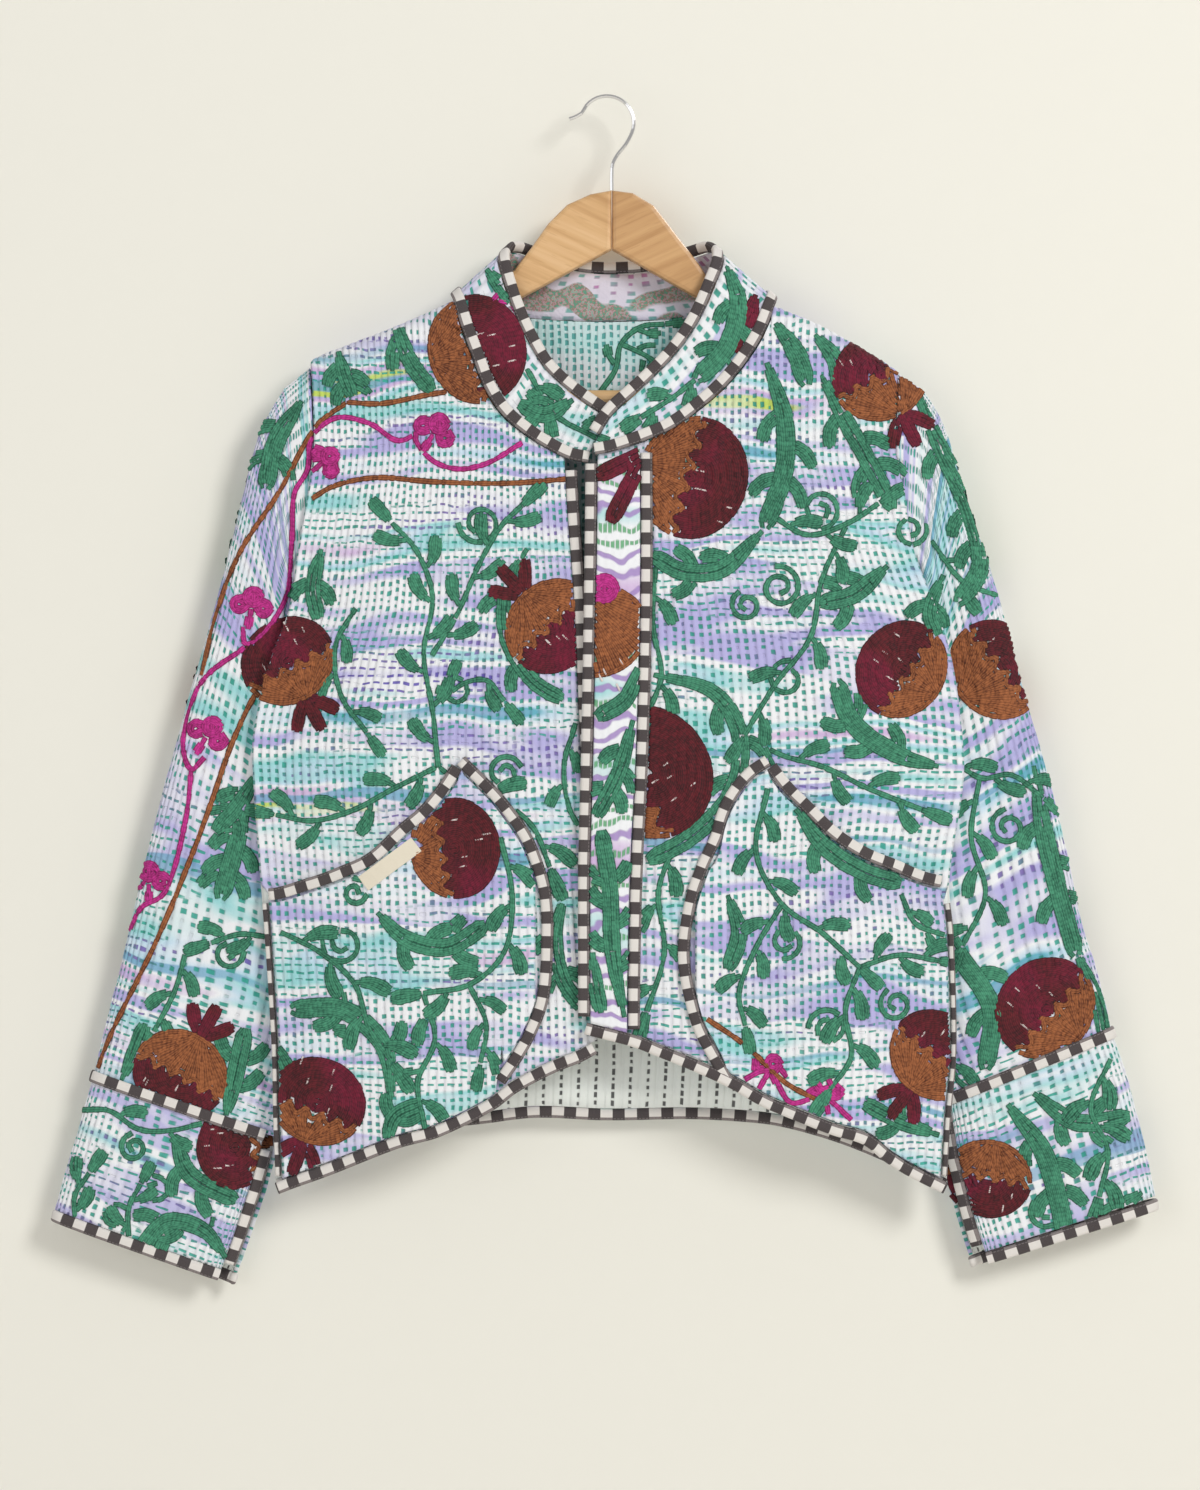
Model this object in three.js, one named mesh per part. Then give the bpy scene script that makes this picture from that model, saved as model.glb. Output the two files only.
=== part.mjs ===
import * as THREE from 'three';

// A quilted cotton jacket hanging closed on a wooden hanger. Millimetres, +Z up, +Y towards the wall
// behind it. The origin is the inner top of the hook's bend, where the hook rests on its peg.
// Right and left are the wearer's: the right side lies at -X.

// Driving dimensions
const cloth = 2.4;            // thickness of the quilted cloth
const seamGap = 0.3;          // sewn pieces stand this far apart
const ridgePitch = 14;        // width of one puckered ridge between quilting rows
const ridgeHeight = 0.9;      // how far a ridge stands above its quilting rows
const trimWidth = 8.4;        // width of the checked binding
const trimHeight = 1.6;       // how far a binding stands above what it lies on
const edgeTrim = 5.2;         // thickness of a binding that wraps one layer of cloth
const lappedTrim = 8.2;       // thickness of a binding that wraps cloth and a second piece on it
const sideSeamDepth = 7.7;    // how far before the hanger's plane front and back meet at the sides
const backDepth = 12;         // how far the back hangs behind the hanger's plane
const armholeDepth = 10.5;    // how far the front stands out at the armhole
const archDrop = 11;          // height over which the cloth rounds over the shoulder
const armpitHeight = -396;
const ventWidth = 4.8;        // the strip along a side that the vent's binding takes
const armholeGap = 2.1;       // between the sleeve's end and the body's edge, along X
const woodHalf = 6.5;         // half the thickness of the hanger's wood
const wireRadius = 1.4;
const hookRadius = 18.9;      // of the wire's centre line
const barRadius = 5.5;
const barHeight = -211;
const jointX = 3.4;           // the joint between the hanger's two halves, and the stem of its hook

// Outlines seen from the front. Each table has its columns' names first.

const sideEdges = table('z right left', [
  [-140, -208.6, 203.6],
  [-200, -206.6, 202.8],
  [-240, -205.2, 202.2],
  [-256, -206, 203],
  [-275, -209, 208],
  [-315, -216, 214],
  [-360, -223, 231],
  [-396, -236, 242],
  [-447, -248, 249],
  [-480, -248, 250],
  [-550, -243, 240],
  [-588, -240, 243],
  [-668, -235, 245],
  [-717, -234, 241],
  [-766, -232, 238],
]);

const backEdges = table('z right left', [
  [-140, -208.6, 203.6],
  [-250, -205, 202],
  [-340, -203, 202.5],
  [-400, -203, 202.5],
  [-411, -204, 203.5],
  [-424, -222, 224],
  [-436, -240, 242],
  [-450, -247, 249],
  [-480, -248, 250],
  [-550, -243, 240],
  [-588, -240, 243],
  [-668, -235, 245],
  [-717, -234, 241],
  [-766, -232, 238],
]);

const shoulderLine = table('x z', [
  [-236, -210],
  [-213, -189],
  [-201, -181],
  [-173, -170],
  [-145, -159],
  [-105, -141],
  [-70, -124],
  [0, -92],
  [75, -124],
  [115, -145],
  [146, -158],
  [177, -175],
  [205, -193],
  [230, -213],
]);

const rightNeck = table('x z', [
  [-105, -141],
  [-100.8, -162],
  [-92.4, -185],
  [-84, -206],
  [-72.8, -223],
  [-58, -236],
  [-41, -247],
  [-26.6, -254],
  [-10, -257],
]);

const leftNeck = table('x z', [
  [-16, -252],
  [-1.4, -250],
  [21.7, -243],
  [44.8, -233],
  [65.8, -218],
  [82.6, -203],
  [97.3, -185],
  [109.2, -165],
  [115, -145],
]);

const frontHems = table('x z', [
  [-250, -772],
  [-232, -766],
  [-187, -749],
  [-145, -732],
  [-117, -724],
  [-81, -706],
  [-64, -693],
  [-39, -680],
  [-19, -672],
  [-3, -664],
  [20, -662],
]);

const leftFrontHem = table('x z', [
  [-20, -651],
  [17, -661],
  [36, -668],
  [61, -678],
  [86, -690],
  [109, -703],
  [133, -713],
  [158, -723],
  [179, -730],
  [195, -743],
  [210, -752],
  [238, -766],
  [250, -772],
]);

const backHem = table('x z', [
  [-250, -770],
  [-232, -764],
  [-190, -746],
  [-150, -731],
  [-117, -722],
  [-86, -718],
  [-50, -714],
  [0, -716],
  [61, -715],
  [109, -718],
  [135, -723],
  [171, -734],
  [210, -750],
  [238, -764],
  [250, -770],
]);

const frontEdges = table('z right bandInner bandOuter', [
  [-140, -26, -11, 26],
  [-262, -25, -11, 27],
  [-353, -19, -12, 27],
  [-460, -14, -14, 24],
  [-540, -9, -16, 20],
  [-620, -4, -16, 18],
  [-680, -2, -16, 18],
]);

const rightPocketMouth = table('x z', [
  [-246, -559],
  [-231, -559],
  [-207, -552],
  [-185, -544],
  [-164, -534],
  [-143, -514],
  [-128, -501],
  [-114, -484],
  [-102, -466],
]);

const leftPocketMouth = table('x z', [
  [112, -466],
  [125, -483],
  [140, -498],
  [158, -516],
  [180, -531],
  [202, -540],
  [223, -548],
  [246, -553],
]);

// The curved inner side of each pocket, from its top corner down to the hem
const pocketCurves = table('z right left', [
  [-466, -102, 112],
  [-475, -92.4, 98.7],
  [-489, -78.4, 87],
  [-503, -67.2, 80],
  [-519, -56.7, 75.6],
  [-536, -49.7, 67.9],
  [-555, -44.1, 60.9],
  [-573, -42, 56.7],
  [-595, -42, 53.9],
  [-612, -42.7, 54.6],
  [-634, -45.5, 58.8],
  [-653, -52.5, 64.4],
  [-671, -62, 73.5],
  [-689, -74, 83.3],
]);

// Large soft folds of the body. Each runs from its top to its bottom, and stands proud where its
// height is above zero. The panel is front or back.
const bodyFolds = table('panel topX bottomX top bottom halfWidth height', [
  ['front', -150, -172, -250, -560, 26, 2.6],
  ['front', -95, -112, -300, -700, 24, -2.2],
  ['front', -205, -205, -330, -766, 17, 2.4],
  ['front', -60, -66, -420, -700, 22, 2.0],
  ['front', 60, 68, -290, -690, 24, 2.4],
  ['front', 120, 104, -250, -700, 26, -2.4],
  ['front', 185, 168, -240, -730, 24, 2.4],
  ['front', 210, 203, -380, -766, 17, -2.6],
  ['back', -150, -165, -260, -770, 26, 2.4],
  ['back', -70, -80, -330, -730, 28, -2.2],
  ['back', 0, 4, -300, -730, 26, 2.2],
  ['back', 75, 84, -340, -730, 26, -2.4],
  ['back', 150, 160, -260, -770, 26, 2.6],
]);

// The collar, from the right front's end round the neck to the left front's end. seam is the line sewn
// to the body and edge the free line. Fronts take their depth from the body, so y is given only
// where the collar leaves the fronts.
const collarStations = table('seamX seamY seamZ edgeX edgeY edgeZ', [
  [-14, -15.2, -256.5, 2, -14.6, -222],
  [-26.6, -15.2, -254, -9, -14.6, -215],
  [-41, -15.2, -247, -19, -14.4, -208],
  [-58, -15, -236, -31.5, -14.2, -198],
  [-72.8, -14.6, -223, -42, -14, -187],
  [-84, -14.2, -206, -50.5, -13.6, -173],
  [-92.4, -13.8, -185, -58, -13, -158],
  [-100.8, -12.4, -162, -66, -12, -137],
  [-105.5, -6.5, -144, -71.4, -8, -114],
  [-106, 0.5, -141, -68, -1, -107],
  [-102, 8, -143.5, -61, 5.5, -105.5],
  [-88, 13.2, -148, -50, 12, -108],
  [-60, 15.2, -153, -35, 15.2, -113],
  [-25, 15.8, -155.5, -14, 16.4, -117],
  [10, 15.8, -155.5, 12, 16.6, -117.5],
  [45, 15.6, -154.5, 32, 16, -115.5],
  [75, 14.6, -151, 49, 14, -110],
  [100, 11.6, -147, 62, 10, -106.5],
  [112, 5.5, -144, 70, 4, -105.5],
  [116, -2, -144, 76, -4, -109],
  [114.5, -8.5, -150, 76.5, -9.5, -117],
  [109.2, -12.6, -165, 71.5, -12.6, -131],
  [97.3, -14.2, -185, 63, -13.8, -151],
  [82.6, -15, -203, 53, -14.8, -168],
  [65.8, -15.6, -218, 41, -15.8, -183],
  [44.8, -17.2, -233, 28, -17.6, -196],
  [21.7, -20.4, -243, 15, -20, -208],
  [2, -21.6, -249.5, 1, -21.4, -221],
  [-9, -21.8, -251.5, -9, -21.8, -236],
]);

// Sleeve sections, each seen from the front as a line from its outer edge to its inner edge.
// half is half the depth of the sleeve's hollow. The first section is the armhole.
const sleeveSections = {
  right: table('outerX outerY outerZ innerX innerY innerZ half', [
    [-213.5, 0, -189, -206.5, -5, -393, 8],
    [-224, 0.5, -202, -211, 3, -394, 7],
    [-235, 1.5, -219, -213, 7.5, -397, 7.5],
    [-245, 3, -241, -213, 10, -402, 8],
    [-257.5, 5, -289, -210, 13, -416, 8.5],
    [-274.5, 7, -352, -204, 15, -446, 9],
    [-295.5, 7.5, -423, -197, 15, -487, 9.5],
    [-313, 7, -487, -196, 15, -536, 9.5],
    [-329, 7.5, -550, -198, 15, -592, 9],
    [-342, 8, -606, -206, 15, -650, 9],
    [-352, 8, -645, -217, 14.5, -692, 8.5],
    [-362, 8, -687, -230, 14, -732.5, 8.5],
  ]),
  left: table('outerX outerY outerZ innerX innerY innerZ half', [
    [208.5, 0, -193, 206, -5, -393, 8],
    [221, 0.5, -205, 211, 3, -394, 7],
    [232, 1.5, -222, 213, 7.5, -397, 7.5],
    [240, 3, -243, 213, 10, -402, 8],
    [252, 5, -282, 210, 13, -416, 8.5],
    [271, 7, -335, 204.5, 15, -444, 9],
    [289, 7.5, -400, 200, 15, -481, 9.5],
    [308, 7, -466, 199, 15, -528, 9.5],
    [321, 7.5, -515, 200, 15, -580, 9],
    [334.6, 8, -578, 206, 15, -636, 9],
    [346, 8, -615, 216, 14.5, -674, 8.5],
    [356, 8, -656, 230, 14, -708, 8.5],
  ]),
};

const cuffSections = {
  right: table('outerX outerY outerZ innerX innerY innerZ half', [
    [-362.3, 8, -688, -230.3, 14, -733.5, 8.7],
    [-372, 8, -722, -240, 13.5, -769, 9],
    [-382, 8, -755, -251, 13, -802, 8.6],
    [-390.5, 8, -786, -262, 12.5, -832, 8.2],
  ]),
  left: table('outerX outerY outerZ innerX innerY innerZ half', [
    [356.3, 8, -657, 230.4, 14, -709, 8.7],
    [367.5, 8, -690, 236.5, 13.5, -749, 9],
    [379, 8, -735, 246, 13, -787, 8.6],
    [388, 8, -778, 256.5, 12.5, -820, 8.2],
  ]),
};

// Soft folds of the sleeves. at runs across from the outer edge, -1, to the inner edge, 1, and
// from and to run down the sleeve, 0 to 1.
const sleeveFolds = table('side at from to halfWidth height', [
  ['front', 0.55, 0.02, 0.55, 0.2, -3.4],
  ['front', 0.12, 0.1, 0.62, 0.16, 2.2],
  ['front', -0.3, 0.35, 0.95, 0.2, -2.2],
  ['front', 0.3, 0.6, 1, 0.2, 1.8],
  ['back', 0.4, 0.02, 0.6, 0.22, 2.4],
  ['back', -0.15, 0.2, 0.8, 0.2, -2.4],
  ['back', 0.2, 0.55, 1, 0.2, 2],
]);

// The hook's wire before and after its round bend
const hookTip = table('x z', [
  [-26.5, -14.8],
  [-22.5, -13.4],
]);

const hookStem = table('x z', [
  [13, -33],
  [7, -40.5],
  [4, -46.5],
  [3.4, -54],
  [3.4, -65.2],
]);

// Outlines of the hanger's halves: over the top from the joint to the tip, then back underneath
const woodOutlines = {
  right: table('x z', [
    [3.2, -65.5],
    [-11.6, -68.2],
    [-28, -75.6],
    [-41.3, -88.9],
    [-52.9, -105.4],
    [-65.2, -121.5],
    [-105, -149],
    [-145, -164.6],
    [-173, -175.2],
    [-194, -184.6],
    [-201, -190.5],
    [-202.5, -200],
    [-200, -214],
    [-194, -219],
    [-186, -219],
    [-181, -214],
    [-177, -205],
    [-165, -198],
    [-145, -188],
    [-105, -168],
    [-61, -141.5],
    [3.2, -107],
  ]),
  left: table('x z', [
    [3.6, -65.5],
    [18.2, -67.4],
    [32.9, -76.3],
    [42.7, -88.9],
    [51.1, -100],
    [59.5, -110.5],
    [70.7, -126.3],
    [112, -153],
    [146, -164.6],
    [177, -181],
    [193, -191],
    [199, -197],
    [200, -206],
    [198.5, -216],
    [193, -220],
    [186, -220],
    [181, -215],
    [178, -206],
    [166, -200],
    [146, -189],
    [110, -170],
    [63, -141],
    [3.6, -107],
  ]),
};
const woodBevel = 3;
const barEnds = [-176.6, 176.6];

// Small helpers

function table(header, rows) {
  const names = header.split(' ');
  return rows.map((row) => Object.fromEntries(names.map((name, i) => [name, row[i]])));
}

function clamp(value, low, high) {
  return Math.min(Math.max(value, low), high);
}

function mix(a, b, share) {
  return a + (b - a) * share;
}

function ease(share) {
  const held = clamp(share, 0, 1);
  return held * held * (3 - 2 * held);
}

// A smooth curve through two columns of a table, level beyond its ends
function curve(rows, from, to) {
  const points = rows.map((row) => [row[from], row[to]]).sort((a, b) => a[0] - b[0]);
  const last = points.length - 1;
  const slope = (i) => {
    const before = points[Math.max(i - 1, 0)];
    const after = points[Math.min(i + 1, last)];
    return (after[1] - before[1]) / (after[0] - before[0]);
  };
  return (value) => {
    const at = clamp(value, points[0][0], points[last][0]);
    let i = 0;
    while (i < last - 1 && at > points[i + 1][0]) i += 1;
    const span = points[i + 1][0] - points[i][0];
    const t = (at - points[i][0]) / span;
    const rise = ease(t);
    const leave = slope(i) * span * t * (1 - t) ** 2;
    const arrive = slope(i + 1) * span * t * t * (t - 1);
    return mix(points[i][1], points[i + 1][1], rise) + leave + arrive;
  };
}

// The value where a falling function of it crosses zero
function crossing(gap, low, high) {
  let [a, b] = [low, high];
  for (let step = 0; step < 34; step += 1) {
    const middle = (a + b) / 2;
    if (gap(middle) > 0) a = middle;
    else b = middle;
  }
  return (a + b) / 2;
}

const shoulder = curve(shoulderLine, 'x', 'z');
const sideOf = { right: curve(sideEdges, 'z', 'right'), left: curve(sideEdges, 'z', 'left') };
const backSideOf = { right: curve(backEdges, 'z', 'right'), left: curve(backEdges, 'z', 'left') };
const neckOf = { right: curve(rightNeck, 'x', 'z'), left: curve(leftNeck, 'x', 'z') };
const hemOf = { right: curve(frontHems, 'x', 'z'), left: curve(leftFrontHem, 'x', 'z') };
const backHemAt = curve(backHem, 'x', 'z');
const rightFrontEdge = curve(frontEdges, 'z', 'right');
const bandInner = curve(frontEdges, 'z', 'bandInner');
const bandOuter = curve(frontEdges, 'z', 'bandOuter');
const wallOut = cloth + ridgeHeight;

// The inner face's height on the shoulder seam
function shoulderTop(x) {
  return shoulder(x) - wallOut;
}

// From 0 on the shoulder seam to 1 below it, where the cloth has rounded over the hanger
function arch(x, z) {
  const below = clamp((shoulderTop(x) - z) / archDrop, 0, 1);
  return Math.sqrt(1 - (1 - below) ** 2);
}

function foldHeight(panel, x, z) {
  let height = 0;
  for (const fold of bodyFolds) {
    if (fold.panel !== panel) continue;
    const down = (fold.top - z) / (fold.top - fold.bottom);
    const centre = mix(fold.topX, fold.bottomX, clamp(down, 0, 1));
    const across = (x - centre) / fold.halfWidth;
    height += fold.height * Math.exp(-across * across) * ease(down * 2.5) * ease((1.25 - down) * 3);
  }
  return height;
}

// Depth of the fronts' inner face. lap brings the left front forward where it covers the right one.
function frontInner(x, z, lap = 0) {
  const wide = Math.abs(sideOf[x < 0 ? 'right' : 'left'](z)) - Math.abs(x);
  const chest = mix(13, 21, ease((-170 - z) / 280)) + 5 * ease((-450 - z) / 260);
  const edge = mix(armholeDepth, sideSeamDepth, ease((-300 - z) / 120));
  const depth = mix(edge, chest, ease(wide / 110)) + foldHeight('front', x, z) * ease(wide / 18);
  return -depth * arch(x, z) - lap - seamGap / 2;
}

function rightFrontInner(x, z) {
  return frontInner(x, z);
}

function leftFrontInner(x, z) {
  return frontInner(x, z, 5.2 * ease((34 - x) / 36));
}

function backInner(x, z) {
  const side = x < 0 ? 'right' : 'left';
  const wide = Math.abs(sideOf[side](z)) - Math.abs(x);
  const below = mix(-sideSeamDepth, backDepth, ease(wide / 130));
  const downArm = clamp((-190 - z) / (-190 - armpitHeight), 0, 1);
  const armhole = mix(-4.6, 11.3, Math.sqrt(1 - downArm ** 4));
  const fromArm = Math.abs(backSideOf[side](z)) - Math.abs(x);
  const above = mix(armhole, backDepth, ease(fromArm / 75));
  const depth = mix(above, below, ease((-370 - z) / 40)) + foldHeight('back', x, z) * ease(wide / 60);
  return depth * arch(x, z) + seamGap / 2;
}

// Solids

const tones = {
  quilt: 0xdfe3ea,
  check: 0x6a5c60,
  label: 0xefe6d2,
  wood: 0xd9a870,
  chrome: 0xc9ccd0,
};
const jacket = new THREE.Group();

function addMesh(name, tone, positions, triangles) {
  const geometry = new THREE.BufferGeometry();
  geometry.setAttribute('position', new THREE.Float32BufferAttribute(positions.flatMap((p) => p.toArray()), 3));
  geometry.setIndex(triangles.flat());
  const metalness = tone === 'chrome' ? 1 : 0;
  const roughness = { chrome: 0.2, wood: 0.45 }[tone] ?? 0.9;
  const material = new THREE.MeshStandardMaterial({ color: tones[tone], roughness, metalness });
  const mesh = new THREE.Mesh(geometry, material);
  mesh.name = name;
  jacket.add(mesh);
}

// Unit normals of a grid of points, on the side that sense picks
function gridNormals(grid, sense, closed) {
  const count = grid.length;
  return grid.map((line, i) => line.map((point, j) => {
    const next = closed ? grid[(i + 1) % count][j] : grid[Math.min(i + 1, count - 1)][j];
    const before = closed ? grid[(i + count - 1) % count][j] : grid[Math.max(i - 1, 0)][j];
    const across = next.clone().sub(before);
    const down = line[Math.min(j + 1, line.length - 1)].clone().sub(line[Math.max(j - 1, 0)]);
    return across.cross(down).multiplyScalar(sense).normalize();
  }));
}

// A cloth wall from a grid of its inner face, columns first. Its outer face carries the puckered
// ridges, one for every two columns, and its inner face is plain, with one column in every two.
function clothWall(name, grid, { sense, closed = false, thick = cloth, ridge = ridgeHeight, tone = 'quilt', normals }) {
  const out = normals ?? gridNormals(grid, sense, closed);
  const columns = grid.length;
  const rows = grid[0].length;
  const positions = [];
  const triangles = [];
  const outer = grid.map((line, i) => line.map((point, j) => {
    const rim = !closed && (i === 0 || i === columns - 1);
    const crest = i % 2 === 1 && !rim ? ridge * (0.82 + 0.18 * Math.sin(i * 1.7 + j * 2.3)) : 0;
    positions.push(point.clone().addScaledVector(out[i][j], thick + crest));
    return positions.length - 1;
  }));
  const step = 2;
  const kept = [...Array(columns).keys()].filter((i) => i % step === 0 || (!closed && i === columns - 1));
  const inner = new Map(kept.map((i) => [i, grid[i].map((point) => {
    positions.push(point.clone());
    return positions.length - 1;
  })]));
  const turned = sense < 0;
  const face = (a, b, c) => triangles.push(turned ? [a, c, b] : [a, b, c]);
  const quad = (a, b, c, d) => {
    face(a, b, c);
    face(a, c, d);
  };
  const spans = closed ? columns : columns - 1;
  for (let i = 0; i < spans; i += 1) {
    const n = (i + 1) % columns;
    for (let j = 0; j < rows - 1; j += 1) quad(outer[i][j], outer[n][j], outer[n][j + 1], outer[i][j + 1]);
  }
  const innerSpans = closed ? kept.length : kept.length - 1;
  for (let k = 0; k < innerSpans; k += 1) {
    const from = kept[k];
    const to = kept[(k + 1) % kept.length];
    const [a, b] = [inner.get(from), inner.get(to)];
    for (let j = 0; j < rows - 1; j += 1) quad(a[j + 1], b[j + 1], b[j], a[j]);
    const end = to > from ? to : columns;
    for (const [j, top] of [[0, true], [rows - 1, false]]) {
      const rim = (x, y, z) => (top ? face(x, y, z) : face(x, z, y));
      rim(a[j], b[j], outer[end % columns][j]);
      for (let i = from; i < end; i += 1) rim(a[j], outer[(i + 1) % columns][j], outer[i][j]);
    }
  }
  if (!closed) {
    const [first, last] = [inner.get(0), inner.get(columns - 1)];
    for (let j = 0; j < rows - 1; j += 1) {
      quad(first[j], outer[0][j], outer[0][j + 1], first[j + 1]);
      quad(last[j + 1], outer[columns - 1][j + 1], outer[columns - 1][j], last[j]);
    }
  }
  addMesh(name, tone, positions, triangles);
}

// A binding along points, with the outward normal at each. Its section lists across and out sizes,
// anticlockwise seen along the path.
function binding(name, points, normals, section, tone = 'check') {
  const positions = [];
  const triangles = [];
  const sides = section.length;
  points.forEach((point, k) => {
    const along = points[Math.min(k + 1, points.length - 1)].clone().sub(points[Math.max(k - 1, 0)]).normalize();
    const across = along.clone().cross(normals[k]).normalize();
    const out = across.clone().cross(along).normalize();
    for (const [wide, high] of section) {
      positions.push(point.clone().addScaledVector(across, wide).addScaledVector(out, high));
    }
  });
  for (let k = 0; k < points.length - 1; k += 1) {
    for (let s = 0; s < sides; s += 1) {
      const t = (s + 1) % sides;
      const [a, b] = [k * sides + s, k * sides + t];
      triangles.push([a, a + sides, b + sides], [a, b + sides, b]);
    }
  }
  const last = (points.length - 1) * sides;
  for (let s = 1; s < sides - 1; s += 1) {
    triangles.push([0, s, s + 1], [last, last + s + 1, last + s]);
  }
  addMesh(name, tone, positions, triangles);
}

// Sections of a binding: one that wraps an edge, from low to high, and one that lies on a face
function wrapSection(low, high, half = trimWidth / 2) {
  const middle = (low + high) / 2;
  return [[half, middle], [half * 0.6, high], [-half * 0.6, high], [-half, middle], [-half * 0.6, low], [half * 0.6, low]];
}

function flatSection(low, high) {
  const half = trimWidth / 2;
  return [[half, low], [half * 0.7, high], [-half * 0.7, high], [-half, low]];
}

// Points spaced along a line drawn on a body surface, with the surface's normals there
function lineOn(surface, facing, drawn, count) {
  const flat = new THREE.CatmullRomCurve3(drawn.map(([x, z]) => new THREE.Vector3(x, 0, z)), false, 'centripetal');
  const points = flat.getSpacedPoints(count).map((p) => new THREE.Vector3(p.x, surface(p.x, p.z), p.z));
  const reach = 4;
  const normals = points.map(({ x, z }) => {
    const overX = (surface(x + reach, z) - surface(x - reach, z)) / (2 * reach);
    const overZ = (surface(x, z + reach) - surface(x, z - reach)) / (2 * reach);
    return new THREE.Vector3(-overX * facing, facing, -overZ * facing).normalize();
  });
  return { points, normals };
}

// Body panels

// Shares of a panel's height, closer over the shoulder and beside the armpit
const frontRows = [0, 0.006, 0.025, 0.06, 0.09, 0.16, 0.23, 0.32, 0.43, 0.54, 0.627, 0.651, 0.8, 0.9, 1];
const backRows = [0, 0.006, 0.025, 0.06, 0.15, 0.26, 0.371, 0.413, 0.56, 0.72, 0.87, 1];

// A line a set distance beside a drawn one, measured square to it
function beside(line, distance) {
  const reach = 2;
  return (at) => line(at) + distance * Math.hypot(1, (line(at + reach) - line(at - reach)) / (2 * reach));
}

// Columns that run down a panel between its top and bottom lines, and across between its two edges.
// Where a line turns sharply at a corner, the columns there stand at the distances in turns from it.
function panelGrid({ columns, innerEdge, outerEdge, top, bottom, surface, rows, corners = [], turns = cornerTurns }) {
  const xAt = (u, z) => mix(innerEdge(z), outerEdge(z), u);
  let shares = Array.from({ length: columns + 1 }, (_, i) => i / columns);
  for (const { x, z } of corners) {
    const [start, width] = [innerEdge(z), outerEdge(z) - innerEdge(z)];
    const placed = turns.map((off) => (x + Math.sign(x) * off - start) / width);
    const clear = (u) => placed.every((other) => Math.abs(u - other) * Math.abs(width) > 3.5);
    shares = [...shares.filter(clear), ...placed].sort((a, b) => a - b);
  }
  return shares.map((u) => {
    const high = crossing((z) => top(xAt(u, z)) - z, -900, -80);
    const low = crossing((z) => bottom(xAt(u, z)) - z, -900, -80);
    return rows.map((share) => {
      const z = mix(high, low, share);
      const x = xAt(u, z);
      return new THREE.Vector3(x, surface(x, z), z);
    });
  });
}

// On the shoulder seam the cloth's thickness points up, so that the two panels stay apart
function seatOnShoulder(grid, sense) {
  const normals = gridNormals(grid, sense, false);
  grid.forEach((line, i) => line.forEach((point, j) => {
    const share = arch(point.x, point.z);
    if (share > 0.75) return;
    const normal = normals[i][j];
    normal.y *= share;
    normal.z = Math.abs(normal.z) + (1 - share) * 0.6;
    normal.normalize();
  }));
  return normals;
}

const halfTrim = trimWidth / 2 + seamGap;
const neckCorners = { right: { x: -105, z: -146 }, left: { x: 115, z: -150 } };
const cornerTurns = [2.4, 0.8, -0.4, -2];
const neckShift = 2;          // the body's neck stands this far outside the collar's seam, along X

function evenCount(width) {
  return 2 * Math.round(width / ridgePitch);
}

function buildFront(side) {
  const left = side === 'left';
  const surface = left ? leftFrontInner : rightFrontInner;
  const neck = neckOf[side];
  const outward = left ? 1 : -1;
  const inNeck = (x) => Math.abs(x) < Math.abs(neckCorners[side].x) + neckShift;
  const grid = panelGrid({
    columns: evenCount(238),
    innerEdge: (z) => (left ? bandInner(z) + halfTrim : rightFrontEdge(z) - halfTrim),
    outerEdge: (z) => sideOf[side](z) - outward * ventWidth * ease((-552 - z) / 8),
    top: (x) => Math.min(inNeck(x) ? neck(x - outward * neckShift) - 0.6 : 0, shoulderTop(x)),
    bottom: beside(hemOf[side], halfTrim),
    surface,
    rows: frontRows,
    corners: [neckCorners[side]],
  });
  const sense = left ? -1 : 1;
  clothWall(`front_${side}`, grid, { sense, normals: seatOnShoulder(grid, sense) });
}

function buildBack() {
  const neckDrop = (x) => -156.5 + 9 * Math.min(Math.abs(x) / 105, 1) ** 2;
  const inNeck = (x) => x > neckCorners.right.x - 1 && x < neckCorners.left.x + 1;
  const grid = panelGrid({
    columns: evenCount(470),
    innerEdge: (z) => backSideOf.left(z),
    outerEdge: (z) => backSideOf.right(z),
    top: (x) => Math.min(inNeck(x) ? neckDrop(x) : 0, shoulderTop(x)),
    bottom: beside(backHemAt, halfTrim),
    surface: backInner,
    rows: backRows,
    corners: Object.values(neckCorners),
  });
  clothWall('back', grid, { sense: -1, normals: seatOnShoulder(grid, -1) });
}

// Tubes: sleeves and cuffs

const sleeveRing = 140;

function sectionAt(sections, share) {
  const at = clamp(share, 0, 1) * (sections.length - 1);
  const i = Math.min(Math.floor(at), sections.length - 2);
  const [a, b] = [sections[i], sections[i + 1]];
  return Object.fromEntries(Object.keys(a).map((key) => [key, mix(a[key], b[key], at - i)]));
}

// A point of a flattened ring. across runs from -1 at the outer edge to 1 at the inner edge.
function ringPoint(section, across, front, fold) {
  const outer = new THREE.Vector3(section.outerX, section.outerY, section.outerZ);
  const inner = new THREE.Vector3(section.innerX, section.innerY, section.innerZ);
  const length = outer.distanceTo(inner);
  const point = outer.lerp(inner, (1 + across * (1 - 2 * wallOut / length)) / 2);
  const bulge = section.half * Math.sqrt(Math.max(1 - across ** 4, 0));
  const facing = front ? -1 : 1;
  point.y += facing * (bulge + fold * (1 - across ** 4));
  return point;
}

function sleeveFold(face, across, down) {
  let height = 0;
  for (const fold of sleeveFolds) {
    if (fold.side !== face) continue;
    const off = (across - fold.at) / fold.halfWidth;
    height += fold.height * Math.exp(-off * off) * ease((down - fold.from) * 6) * ease((fold.to - down) * 6);
  }
  return height;
}

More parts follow.
